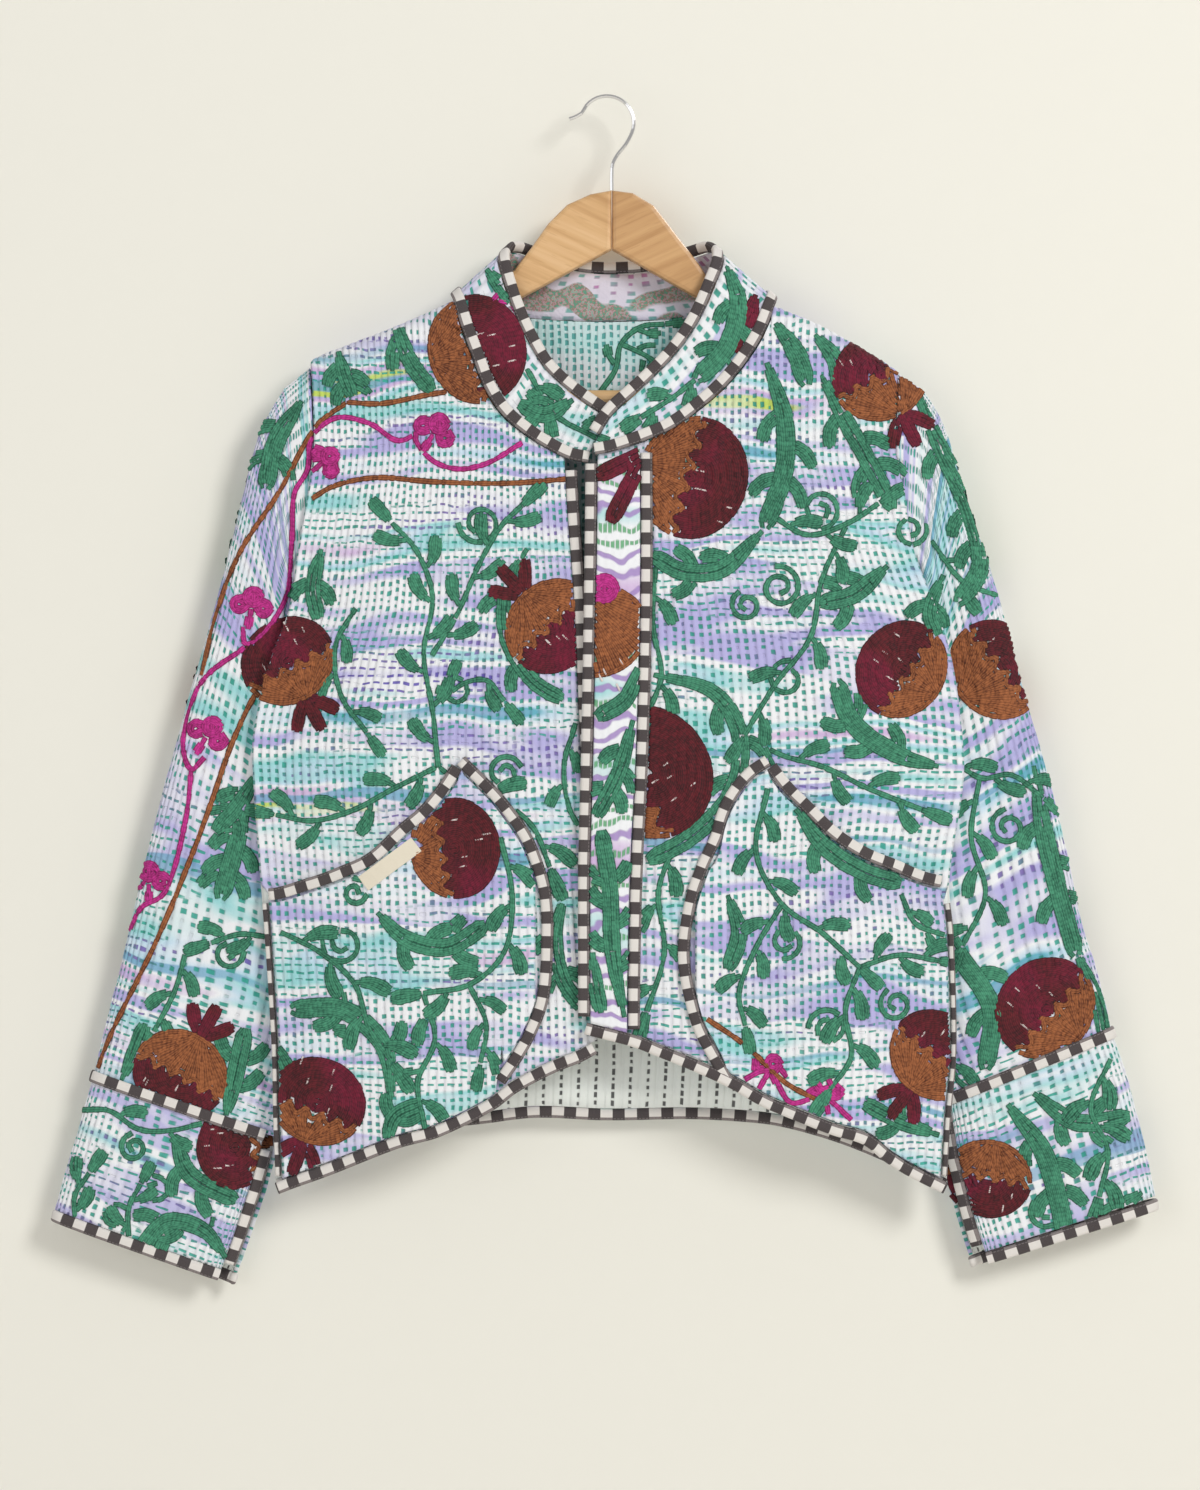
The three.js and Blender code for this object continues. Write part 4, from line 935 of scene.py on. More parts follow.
def quiltPaint(name, seed, calm=0.0):
    paint = Paint(name, roughness=0.88, sheen=0.15)
    look = quiltLook
    x, y, _ = paint.separate(paint.place())
    _, v = paint.uv()
    down = v * (clothUnit * mm)
    wander = (paint.noise(paint.combine(x, y, down), 7.0) - 0.5) * 0.05
    height = down + wander
    band = paint.noise(paint.combine(x * 2.0 + seed * 3.1, y, height * look["bandHeight"]), 1.0, 2.0, 0.7)
    ground = paint.ramp(band, [
        (0.0, look["violet"]), (0.26, look["lavender"]), (0.34, look["sea"]), (0.355, look["paleBlue"]),
        (0.40, look["white"]), (0.44, look["lavender"]), (0.49, look["lavender"]), (0.51, look["white"]),
        (0.55, look["white"]), (0.575, look["aqua"]), (0.605, look["paleBlue"]), (0.625, look["white"]),
        (0.65, look["lilac"]), (0.685, look["lavender"]), (0.70, look["lime"]), (0.73, look["lime"]),
        (0.75, look["aqua"]), (0.80, look["white"]),
    ])
    wash = paint.noise(paint.combine(x * 12.0, y * 12.0 + seed, height * 30.0), 1.0, 3.0)
    ground = paint.blend(wash.between(0.46, 0.64) * 0.7 + calm, ground, look["white"])
    streak = paint.noise(paint.combine(x * 1.4 + seed, y, height * 62.0), 1.0, 1.0).between(0.62, 0.66)
    streaked = paint.noise(paint.combine(x * 1.2, y - seed, height * 9.0), 1.0, 1.0)
    streak = streak * streaked.between(0.44, 0.52)
    ground = paint.blend(streak * (0.85 - calm), ground, look["steel"])
    mark, each, across = stitches(paint, seed)
    zone = paint.noise(paint.combine(x * 5.0, y + seed, height * 22.0), 1.0, 1.0).between(0.53, 0.56)
    mark = mark * (1 - zone) + crossStitches(paint, seed) * zone
    tone = paint.noise(paint.combine(x * 4.0 + seed, y, height * 31.0), 1.0, 2.0, 0.6)
    thread = paint.ramp(tone + each * 0.07, [
        (0.0, look["violet"]), (0.36, look["plum"]), (0.43, look["teal"]), (0.54, look["thread"]),
        (0.62, look["teal"]), (0.69, look["plum"]), (0.76, look["violet"]),
    ])
    present = each.between(0.05, 0.07)
    colour = paint.blend(mark * present * 0.94, ground, thread)
    weave = paint.noise(paint.place(), 900.0, 2.0)
    # painted shade: the furrows between the quilted ridges are darkened with a grey-blue multiply
    colour = paint.blend(across.between(0.22, 0.0) * 0.22, colour, (0.36, 0.38, 0.46), "MULTIPLY")
    height = across.between(0.0, 0.30) * 0.6 + weave * 0.25 - mark * 0.5
    return paint.finish(colour, height, 0.0011, 0.8)


def bandPaint():  # the front band: wavy rows in lavender and green across a white ground
    paint = Paint("bandQuilt", roughness=0.88, sheen=0.15)
    look = quiltLook
    x, y, z = paint.separate(paint.place())
    u, v = paint.uv()
    wave = paint.noise(paint.combine(x * 45.0, y, z * 30.0), 1.0, 2.0) * 2.6
    across = v * 0.55 + wave
    line = across.floor()
    off = abs(across % 1.0 - 0.5)
    kind = paint.chance(line, 3.0)
    dashes = abs((u * 1.5 + kind * 4.0) % 1.0 - 0.5).between(0.44, 0.30)
    mark = off.between(0.28, 0.12) * (1 - kind.between(0.55, 0.56) * (1 - dashes))
    thread = paint.blend(kind.between(0.55, 0.56), (0.36, 0.24, 0.55), (0.10, 0.38, 0.17))
    cloud = paint.noise(paint.combine(x * 3.0, y, z * 16.0), 1.0, 2.0)
    ground = paint.ramp(cloud, [
        (0.38, look["aqua"]), (0.46, look["white"]), (0.58, look["white"]), (0.66, look["lilac"]),
    ])
    weave = paint.noise(paint.place(), 900.0, 2.0)
    return paint.finish(paint.blend(mark * 0.9, ground, thread), weave * 0.25 - mark * 0.6, 0.001, 0.8)


def liningPaint(name, seed):
    paint = Paint(name, roughness=0.9, sheen=0.15)
    x, y, z = paint.separate(paint.place())
    mark, _, across = stitches(paint, seed, 0.27)
    u, _ = paint.uv()
    second = ((u + 0.5).floor() * 0.5 % 1.0).between(0.2, 0.3)  # only every second row shows lower down
    high = z.between(-0.36, -0.28)
    mark = mark * (high + (1 - high) * second * across.between(0.22, 0.14))
    cloud = paint.noise(paint.combine(x * 3.0, y, z * 22.0), 1.0, 2.0)
    upper = paint.blend(cloud.between(0.40, 0.6), (0.50, 0.76, 0.76), (0.70, 0.76, 0.80))
    ground = paint.blend(high, (0.86, 0.91, 0.89), upper)
    thread = paint.blend(high, (0.03, 0.03, 0.035), (0.05, 0.34, 0.32))
    colour = paint.blend(mark * 0.9, ground, thread)
    weave = paint.noise(paint.place(), 900.0, 2.0)
    return paint.finish(colour, across.between(0.0, 0.3) * 0.6 + weave * 0.2 - mark * 0.5, 0.001, 0.8)


def collarInsidePaint():
    paint = Paint("collarInside", roughness=0.88, sheen=0.15)
    x, y, z = paint.separate(paint.place())
    mark, _, across = stitches(paint, 23)
    patch = paint.noise(paint.combine(x * 1.6, y, z * 2.6), 11.0, 1.0, 0.4, 0.6)
    speck = paint.noise(paint.place(), 520.0, 1.0)
    tweed = paint.ramp(speck, [
        (0.36, (0.12, 0.34, 0.25)), (0.47, (0.30, 0.22, 0.17)), (0.55, (0.52, 0.30, 0.36)),
        (0.66, (0.24, 0.42, 0.34)),
    ])
    ground = paint.blend(paint.noise(paint.place(), 30.0), (0.74, 0.72, 0.80), (0.66, 0.62, 0.76))
    thread = paint.blend(patch.between(0.4, 0.5), (0.45, 0.13, 0.38), (0.06, 0.35, 0.30))
    colour = paint.blend(mark * 0.8, ground, thread)
    colour = paint.blend(patch.between(0.515, 0.535), colour, tweed)
    return paint.finish(colour, across.between(0.0, 0.3) * 0.5 + speck * 0.5, 0.001, 0.8)


bindingColours = {"dark": (0.030, 0.020, 0.024), "light": (0.76, 0.73, 0.70), "grey": (0.20, 0.17, 0.17)}


def bindingPaint():
    paint = Paint("checkedBinding", roughness=0.8, sheen=0.1)
    u, v = paint.uv()
    weft = abs((u * 0.5) % 1.0 - 0.5).between(0.242, 0.258)
    warp = v.between(-0.50, -0.46)
    light = paint.blend(warp, bindingColours["grey"], bindingColours["light"])
    colour = paint.blend(weft, bindingColours["dark"], light)
    threads = abs((u * 16.0) % 1.0 - 0.5)
    cross = abs((v * 8.0) % 1.0 - 0.5)
    colour = paint.blend(threads * cross * 1.2, colour, (0.45, 0.42, 0.40))
    seam = (abs(v + 0.72)).between(0.10, 0.04) * abs((u * 3.4) % 1.0 - 0.5).between(0.36, 0.30)
    colour = paint.blend(seam * 0.5, colour, (0.30, 0.27, 0.27))
    return paint.finish(colour, threads * 0.4 + cross * 0.4 - seam, 0.0003, 0.6)


def labelPaint():
    paint = Paint("labelTape", roughness=0.85)
    x, _, z = paint.separate(paint.place())
    ribs = abs(((x * 0.8 + z * 0.6) * 1400.0) % 1.0 - 0.5)
    colour = paint.blend(ribs, (0.74, 0.68, 0.55), (0.82, 0.77, 0.66))
    return paint.finish(colour, ribs, 0.0002, 0.6)


def woodPaint(name, colours, slope):
    paint = Paint(name, roughness=0.42)
    turned = paint.node("ShaderNodeMapping", None, {"Vector": paint.place(), "Rotation": (0, slope, 0)})
    x, y, z = paint.separate(turned)
    grain = paint.noise(paint.combine(x * 7.0, y * 60.0, z * 150.0), 1.0, 3.0, 0.6, 0.3)
    pores = paint.noise(paint.combine(x * 60.0, y * 700.0, z * 900.0), 1.0, 1.0)
    colour = paint.ramp(grain, [(0.30, colours[0]), (0.52, colours[1]), (0.70, colours[2])])
    colour = paint.blend(pores.between(0.62, 0.72) * 0.35, colour, colours[0])
    return paint.finish(colour, grain * 0.5 + pores * 0.5, 0.0001, 0.4)


threadColours = {  # each thread's colour in the hollows with painted shade, and on the crests with painted light
    "green": ((0.008, 0.085, 0.050), (0.075, 0.345, 0.205)),
    "maroon": ((0.018, 0.001, 0.003), (0.150, 0.007, 0.016)),
    "rust": ((0.085, 0.018, 0.004), (0.42, 0.140, 0.045)),
    "magenta": ((0.20, 0.002, 0.085), (0.66, 0.035, 0.33)),
    "white": ((0.72, 0.62, 0.60), (0.85, 0.80, 0.78)),
}


def threadPaint(thread):
    paint = Paint(f"{thread}Thread", roughness=0.82, sheen=0.04)
    shadedThread, litThread = threadColours[thread]
    plump = paint.node("ShaderNodeAttribute", {"attribute_name": "plump"}, output="Fac")
    tone = paint.node("ShaderNodeAttribute", {"attribute_name": "tone"}, output="Fac")
    strands = paint.noise(paint.place(), 420.0, 2.0, 0.6)
    drift = paint.noise(paint.place(), 22.0, 1.0)
    # the plump attribute paints shade into each link's hollows and light onto its crests; tone, strands and
    # drift are the thread's own variation
    share = plump * 1.0 + tone * 0.4 + strands * 0.3 + drift * 0.4 - 0.65
    colour = paint.blend(share, shadedThread, litThread)
    if thread == "maroon":
        # the crimson tint carries the same painted shade and light
        crimson = paint.blend(share, (0.045, 0.001, 0.012), (0.215, 0.004, 0.036))
        colour = paint.blend(drift.between(0.48, 0.66) * 0.8, colour, crimson)
    return paint.finish(colour, paint.noise(paint.place(), 1500.0, 2.0), 0.0002, 0.7)


# Chain-stitch embroidery: rows drawn flat, laid on the cloth and stitched link by link

embroidery = {
    "rowPitch": 2.5,         # between rows of chain stitch
    "linkLength": 3.3,
    "linkWidth": 2.7,
    "linkHeight": 1.15,
    "lift": 0.35,            # over the cloth's ridges
    "fleckWidth": 1.0,       # the white flecks are one thin thread
    "shortest": 2.8,         # no row is shorter
    "cell": 0.8,             # grid that keeps rows off what is already stitched
    "lobeWidth": 8.5,        # of crowns and fronds
}


def smoothLine(points, spacing=1.6):
    points = np.asarray(points, float)
    if len(points) > 2:
        points = splineThrough([(x, z, 0) for x, z in points], (len(points) - 1) * 10)[:, :2]
    return evenlySpaced(points, spacing)


def offsetLine(line, distance):
    along = np.gradient(line, axis=0)
    along /= np.maximum(np.linalg.norm(along, axis=1, keepdims=True), 1e-9)
    square = np.stack([-along[:, 1], along[:, 0]], -1)
    return line + square * np.reshape(distance, (-1, 1))


class Sampler:  # the rows of one drawing, by thread; what is drawn first stays on top
    def __init__(self):
        self.rows = {thread: [] for thread in threadColours}
        self.taken = {}  # the covered cells of each panel
        self.fresh = []
        self.panels = ()

    def on(self, *panels):  # what follows is stitched on these panels only
        self.panels = panels
        return self

    def cellOf(self, point):
        return int(point[0] // embroidery["cell"]), int(point[1] // embroidery["cell"])

    def row(self, thread, line):
        if len(line) < 3:
            return
        covered = set().union(*(self.taken.get(panel, ()) for panel in self.panels))
        for run in runsOf([self.cellOf(point) not in covered for point in line]):
            part = line[run]
            if np.sum(np.linalg.norm(np.diff(part, axis=0), axis=1)) > embroidery["shortest"]:
                self.rows[thread].append((part, self.panels))
                self.fresh.append(part)

    def close(self):  # the shape is complete, so its cells are taken
        cells = {self.cellOf(point) for part in self.fresh for point in part}
        cells = {(i + di, k + dk) for i, k in cells for di in (-1, 0, 1) for dk in (-1, 0, 1)}
        for panel in self.panels:
            self.taken.setdefault(panel, set()).update(cells)
        self.fresh = []

    def keepClear(self, start, end, width):
        line = smoothLine([start, end], embroidery["cell"])
        self.fresh = [offsetLine(line, side) for side in np.linspace(-width / 2, width / 2, 9)]
        self.close()

    def stem(self, points, thread="green"):
        self.row(thread, smoothLine(points))
        self.close()

    # A leaf on a bent midrib. Rows follow its outline, one inside the other, and a last one fills the
    # middle. start is its width at the root as a share, fullAt the place where it is widest
    def leaf(self, points, width, thread="green", start=0.35, fullAt=0.62):
        line = smoothLine(points, 1.2)
        share = np.linspace(0, 1, len(line))
        length = np.sum(np.linalg.norm(np.diff(line, axis=0), axis=1))
        tip = min(width * 0.85 / max(length, 1), 0.6)
        widening = start + (1 - start) * np.sin(share / fullAt * math.pi / 2)
        half = width / 2 * np.where(share < fullAt, widening, 1.0)
        half = half * np.sqrt(np.clip(1 - np.clip((share - 1 + tip) / tip, 0, 1) ** 2, 0, 1))
        pitch = embroidery["rowPitch"]
        out = half / pitch - 0.5  # of the outermost row from the midrib, in pitches
        closest = 0.55  # that two rows may come to the midrib, in pitches
        middle = (out < 0.85) | ((out - closest) % 1 + closest > 0.8)
        while np.max(out) > closest:
            for side in (-1, 1):
                self.row(thread, offsetLine(line, side * out * pitch)[out > closest])
            out = out - 1
        for run in runsOf(middle & (half > 0.3 * pitch)):
            self.row(thread, line[run])
        self.close()

    def curl(self, start, angle, radius, turns, side=1):  # a spiral tendril
        t = np.linspace(0, 1, 60)
        sweep = t * turns * 2 * math.pi * side
        reach = radius * (1 - t * 0.72)
        centre = np.array(start) + radius * np.array([math.cos(angle), math.sin(angle)])
        spiral = centre + np.stack([-reach * np.cos(angle + sweep), -reach * np.sin(angle + sweep)], -1)
        self.stem(evenlySpaced(spiral, 5.0))

    # A pomegranate: maroon body, rust fan with a scalloped edge, three-lobed crown where the fan is
    # rooted. rust is the fan's share of the whole length
    def pomegranate(self, centre, radius, angle, rust, crown=True):
        pitch = embroidery["rowPitch"]
        stretch = 1.13  # it is broader than it is long
        axis = np.array([math.cos(angle), math.sin(angle)])
        square = np.array([-axis[1], axis[0]])
        edge = radius * (1 - 2 * rust)  # where the rust begins, along the axis
        lobes = 5

        def scallop(across):
            return edge + 0.22 * radius * (np.abs(np.cos(across / radius * lobes * math.pi / 2)) - 0.5)

        def place(down, across):
            return np.array(centre) + np.asarray(down)[:, None] * axis + np.asarray(across)[:, None] * square

        across = np.linspace(-radius, radius, 120) * stretch * 0.97
        down = scallop(across) + 0.45 * pitch
        for run in runsOf(down ** 2 + (across / stretch) ** 2 < (radius - pitch * 0.7) ** 2):
            self.row("rust", evenlySpaced(place(down, across)[run], 1.2))
        self.close()
        ring = radius - pitch / 2
        while ring > pitch * 0.4:
            turn = np.linspace(0, 2 * math.pi, max(int(ring * 4), 12))
            down, across = np.cos(turn) * ring, np.sin(turn) * ring * stretch
            for thread, mask in (("maroon", down <= scallop(across)), ("rust", down > scallop(across))):
                for run in runsOf(mask):
                    if thread == "maroon" or ring > radius - pitch:
                        self.row(thread, evenlySpaced(place(down, across)[run], 1.6))
            ring -= pitch
        self.close()
        root = radius * 1.05
        fan = int(1.3 * math.pi * radius / pitch)
        for k in range(fan):  # the rust rows fan out from the crown's root, the odd ones from farther out
            swing = mix(-0.5, 0.5, (k + 0.5) / fan) * math.pi * 0.98
            reach = 2.2 * radius
            begin = (0.02, 0.40, 0.22, 0.40)[k % 4]
            t = np.linspace(begin, 1, 60)
            down = root - t * reach * np.cos(swing)
            across = t * reach * np.sin(swing)
            inside = (down ** 2 + (across / stretch) ** 2 < (radius - pitch) ** 2) & (down > scallop(across))
            for run in runsOf(inside):
                self.row("rust", evenlySpaced(place(down, across)[run], 1.6))
        self.close()
        chance = random.Random(int(centre[0] * 7 + centre[1]))
        for _ in range(5):
            down = chance.uniform(-0.85, edge / radius - 0.2) * radius
            across = chance.uniform(-0.7, 0.7) * radius
            start = np.array(centre) + down * axis + across * square
            fleck = np.array([start, start + axis * 1.8, start + axis * 3.6])
            self.rows["white"].append((fleck, self.panels))
        if crown:
            for lean in (0.0, -0.8, 0.8):
                way = axis * math.cos(lean) + square * math.sin(lean)
                start = np.array(centre) + axis * radius * 0.96
                self.leaf([start, start + way * 13, start + way * 24 + axis * 3], embroidery["lobeWidth"],
                          "maroon", 0.6, 0.5)

    def disc(self, centre, radius):
        ring = radius - embroidery["rowPitch"] / 2
        while ring > 0.6:
            turn = np.linspace(0, 2 * math.pi, 40)
            circle = np.array(centre) + ring * np.stack([np.cos(turn), np.sin(turn)], -1)
            self.row("magenta", evenlySpaced(circle, 1.2))
            ring -= embroidery["rowPitch"]
        self.close()

    def flower(self, centre, angle, size):  # three round petals and a tongue
        centre = np.array(centre)
        for lean, share in ((0.0, 0.8), (-1.3, 0.72), (1.3, 0.72)):
            way = np.array([math.cos(angle + lean), math.sin(angle + lean)])
            self.disc(centre + way * size, size * share)
        way = np.array([math.cos(angle + math.pi), math.sin(angle + math.pi)])
        self.leaf([centre, centre + way * size * 0.8, centre + way * size * 1.6], size * 0.6, "magenta", 0.8)

    def branch(self, points, leaves, width, length, first=1):  # a stem with leaves by turns
        line = smoothLine(points)
        slim = width * 0.86
        self.stem(points)
        along = np.gradient(line, axis=0)
        for n in range(leaves):
            at = int((n + 0.7) / (leaves + 0.3) * (len(line) - 1))
            heading = math.atan2(along[at][1], along[at][0])
            lean = heading + (0.9 if (n + first) % 2 else -0.9)
            bend = lean + (-0.4 if (n + first) % 2 else 0.4)
            mid = line[at] + length * 0.6 * np.array([math.cos(lean), math.sin(lean)])
            tip = mid + length * 0.7 * np.array([math.cos(bend), math.sin(bend)])
            self.leaf([line[at], mid, tip], slim, "green", 0.3, 0.8)
        heading = math.atan2(along[-1][1], along[-1][0])
        way = np.array([math.cos(heading), math.sin(heading)])
        end = line[-1]
        self.leaf([end - way * 3, end + way * length * 0.6, end + way * length * 1.2], slim,
                  "green", 0.3, 0.8)

    def frond(self, points, width, lobes, size):  # a broad bent leaf with blunt lobes by turns
        line = smoothLine(points)
        body = min(width * 0.82, 12.5)
        self.leaf(points, body, "green", 0.35, 0.45)
        along = np.gradient(line, axis=0)
        for n in range(lobes):
            at = int(mix(0.2, 0.78, (n + 0.5) / lobes) * (len(line) - 1))
            heading = math.atan2(along[at][1], along[at][0])
            for side in ((-1, 1) if n == lobes - 1 else (1 if n % 2 else -1,)):
                lean = heading + side * 1.1
                bend = heading + side * 0.55
                mid = line[at] + (body * 0.4 + size * 0.45) * np.array([math.cos(lean), math.sin(lean)])
                tip = mid + size * 0.7 * np.array([math.cos(bend), math.sin(bend)])
                self.leaf([line[at], mid, tip], embroidery["lobeWidth"], "green", 0.8, 0.3)


def runsOf(keep):  # index ranges where a mask holds
    edges = np.flatnonzero(np.diff(np.concatenate([[0], np.asarray(keep, int), [0]])))
    return [slice(a, b) for a, b in zip(edges[::2], edges[1::2]) if b - a > 2]


# Rows meet the cloth where a ray from the front, or from the back, first strikes a panel they may lie on
def layRows(rows, targets, fromFront):
    tree, owner = targets
    laid = {}
    reach = 0.2 if fromFront else -0.2
    way = Vector((0, 1 if fromFront else -1, 0))
    for line, panels in rows:
        hits = [tree.ray_cast(Vector((x * mm, -reach, z * mm)), way) for x, z in line]
        met = [owner[face] if hit is not None and abs(normal.y) > 0.25 else ""
               for hit, normal, face, _ in hits]
        for panel in set(met) & set(panels):
            for run in runsOf([name == panel for name in met]):
                struck = [(hit, normal) for hit, normal, _, _ in hits[run]]
                laid.setdefault(panel, []).append(linkPlaces(struck))
    return laid


def linkPlaces(row):  # the middle of each whole link that fills the row from end to end
    points = np.array([tuple(point) + tuple(normal) for point, normal in row])
    run = np.concatenate([[0], np.cumsum(np.linalg.norm(np.diff(points[:, :3], axis=0), axis=1))])
    count = max(2, round(run[-1] / (embroidery["linkLength"] * mm)))
    places = (np.arange(count) + 0.5) / count * run[-1]
    return np.stack([np.interp(places, run, column) for column in points.T], -1)


def targetTrees(pieces):
    vertices, faces, owner = [], [], []
    for name, piece in pieces.items():
        base = len(vertices)
        vertices += [vertex.co for vertex in piece.data.vertices]
        faces += [[v + base for v in polygon.vertices] for polygon in piece.data.polygons]
        owner += [name] * len(piece.data.polygons)
    return BVHTree.FromPolygons(vertices, faces), owner


def makeLink():  # one chain stitch in a box of 1 by 1 by 1: two plump strands with a groove between them
    rings = [(-0.60, 0.20, 0.42, 0.22), (-0.06, 0.30, 1.0, 0.52), (0.54, 0.22, 0.66, 0.34)]
    points = []
    for x, half, high, groove in rings:
        for y, z in ((-0.72, -0.05), (-half, high), (0, groove), (half, high), (0.72, -0.05)):
            points.append((x, y, z))
    faces = [(5 * k + n, 5 * k + 5 + n, 5 * k + 6 + n, 5 * k + 1 + n) for k in range(2) for n in range(4)]
    mesh = bpy.data.meshes.new("chainLink")
    mesh.from_pydata(points, [], faces)
    mesh.polygons.foreach_set("use_smooth", np.ones(len(mesh.polygons), bool))
    plump = mesh.attributes.new("plump", "FLOAT", "POINT")  # 0 in the hollows, 1 on the crests: the thread material paints shade and light with it
    plump.data.foreach_set("value", [
        0.0, 0.45, 0.1, 0.45, 0.0, 0.0, 1.0, 0.45, 1.0, 0.0, 0.0, 0.7, 0.25, 0.7, 0.0,
    ])
    return bpy.data.objects.new("chainLink", mesh)


def chainTree():
    tree = bpy.data.node_groups.new("chainStitch", "GeometryNodeTree")
    sockets = {}
    face = tree.interface
    face.new_socket("Rows", in_out="INPUT", socket_type="NodeSocketGeometry")
    for name, kind in (("Link", "Object"), ("Link Length", "Float"), ("Link Width", "Float"),
                       ("Link Height", "Float"), ("Seed", "Int"), ("Thread", "Material")):
        sockets[name] = face.new_socket(name, in_out="INPUT", socket_type=f"NodeSocket{kind}").identifier
    face.new_socket("Stitches", in_out="OUTPUT", socket_type="NodeSocketGeometry")
    make = Nodes(tree)
    given = tree.nodes.new("NodeGroupInput")
    value = {socket.name: Field(make, socket) for socket in given.outputs if socket.name}
    curve = make.node("GeometryNodeMeshToCurve", None, {"Mesh": value["Rows"]})
    tangent = make.node("GeometryNodeInputTangent")
    normal = make.node("GeometryNodeInputNamedAttribute", {"data_type": "FLOAT_VECTOR"},
                       {"Name": "clothNormal"})
    turn = make.node("FunctionNodeAxesToRotation", {"primary_axis": "X", "secondary_axis": "Z"},
                     {"Primary Axis": tangent, "Secondary Axis": normal})
    link = make.node("GeometryNodeObjectInfo", None, {"Object": value["Link"]}, output="Geometry")
    size = make.node("ShaderNodeCombineXYZ", None, {0: value["Link Length"] * 1.12, 1: value["Link Width"],
                                                    2: value["Link Height"]})
    chance = make.node("FunctionNodeRandomValue", {"data_type": "FLOAT"},
                       {2: 0.88, 3: 1.12, "Seed": value["Seed"]}, output=1)
    size = make.node("ShaderNodeVectorMath", {"operation": "SCALE"}, {0: size, "Scale": chance})
    placed = make.node("GeometryNodeInstanceOnPoints", None, {"Points": curve, "Instance": link,
                                                              "Rotation": turn, "Scale": size})
    tone = make.node("FunctionNodeRandomValue", {"data_type": "FLOAT"},
                     {2: 0.0, 3: 1.0, "Seed": value["Seed"] + 5}, output=1)
    placed = make.node("GeometryNodeStoreNamedAttribute", {"data_type": "FLOAT", "domain": "INSTANCE"},
                       {"Geometry": placed, "Name": "tone", "Value": tone})
    solid = make.node("GeometryNodeRealizeInstances", None, {"Geometry": placed})
    done = make.node("GeometryNodeSetMaterial", None, {"Geometry": solid, "Material": value["Thread"]})
    tree.links.new(done.socket, tree.nodes.new("NodeGroupOutput").inputs[0])
    return tree, sockets


def embroider(name, laid, material, tree, sockets, link, seed, width):
    vertices, edges, normals = [], [], []
    for row in laid:
        start = len(vertices)
        vertices += (row[:, :3] + row[:, 3:] * (embroidery["lift"] * mm)).tolist()
        normals += row[:, 3:].tolist()
        edges += [(start + n, start + n + 1) for n in range(len(row) - 1)]
    mesh = bpy.data.meshes.new(name + "Rows")
    mesh.from_pydata(vertices, edges, [])
    attribute = mesh.attributes.new("clothNormal", "FLOAT_VECTOR", "POINT")
    attribute.data.foreach_set("vector", np.array(normals, np.float32).ravel())
    rows = bpy.data.objects.new(name + "Rows", mesh)
    bpy.context.scene.collection.objects.link(rows)
    modifier = rows.modifiers.new("chain", "NODES")
    modifier.node_group = tree
    settings = {"Link": link, "Link Length": embroidery["linkLength"] * mm, "Link Width": width * mm,
                "Link Height": embroidery["linkHeight"] * mm, "Seed": seed, "Thread": material}
    for label, value in settings.items():
        modifier[sockets[label]] = value
    graph = bpy.context.evaluated_depsgraph_get()
    stitched = bpy.data.meshes.new_from_object(rows.evaluated_get(graph))
    bpy.data.objects.remove(rows)
    stitched.name = name
    obj = bpy.data.objects.new(name, stitched)
    bpy.context.scene.collection.objects.link(obj)
    return obj


# The drawings. Places are in millimetres from the hook, seen from the front, angles anticlockwise

def turned(degrees):
    return math.radians(degrees)


def drawRightFront(s):
    s.stem([(-182, -215), (-158, -216), (-120, -209), (-95, -207), (-62, -212)], "rust")
    s.stem([(-182, -215), (-203, -231), (-231, -279), (-258, -320), (-275, -364), (-285, -406)], "rust")
    s.stem([(-206, -282), (-192, -274), (-164, -268), (-120, -271), (-70, -272), (-28, -269)], "rust")
    s.flower((-122, -238), turned(60), 9)
    s.flower((-200, -258), turned(40), 8)
    s.stem([(-60, -244), (-84, -258), (-104, -262), (-122, -256), (-134, -240), (-128, -230)], "magenta")
    s.stem([(-128, -234), (-146, -242), (-166, -230), (-190, -226), (-207, -240), (-210, -262), (-219, -278),
            (-221, -310), (-226, -352), (-240, -375), (-254, -384), (-256, -372)], "magenta")
    s.pomegranate((-38, -372), 31, turned(132), 0.5)
    s.pomegranate((-224, -396), 30, turned(-63), 0.42)
    s.branch([(-118, -470), (-122, -430), (-128, -392), (-122, -350), (-134, -318), (-150, -300)], 7, 10, 20)
    s.branch([(-122, -392), (-104, -362), (-90, -330), (-74, -302), (-60, -288)], 5, 10, 20, first=0)
    s.branch([(-122, -430), (-100, -412), (-84, -410), (-72, -424)], 2, 9, 18)
    s.branch([(-118, -470), (-150, -486), (-176, -500), (-206, -508), (-232, -504)], 6, 10, 20)
    s.branch([(-118, -470), (-96, -486), (-74, -494), (-52, -512), (-40, -540)], 4, 11, 22, first=0)
    s.curl((-104, -300), turned(0), 15, 1.5)
    s.curl((-118, -420), turned(10), 12, 1.3, -1)
    s.curl((-60, -470), turned(200), 12, 1.4)
    s.frond([(-56, -318), (-70, -344), (-70, -380), (-52, -410), (-30, -424)], 12, 3, 16)
    s.frond([(-200, -318), (-206, -345), (-202, -368)], 12, 1, 16)
    s.frond([(-188, -180), (-184, -196), (-178, -212)], 11, 3, 14)
    s.frond([(-30, -560), (-36, -590), (-30, -620), (-16, -640)], 12, 2, 15)
    s.branch([(-22, -440), (-30, -470), (-26, -500), (-14, -520)], 3, 9, 16)
    s.branch([(-176, -360), (-190, -386), (-186, -420), (-168, -446)], 3, 9, 18)
    s.leaf([(-146, -164), (-138, -186), (-122, -208)], 11, "green", 0.7)
    s.leaf([(-146, -166), (-150, -182), (-150, -194)], 9, "green", 0.7)


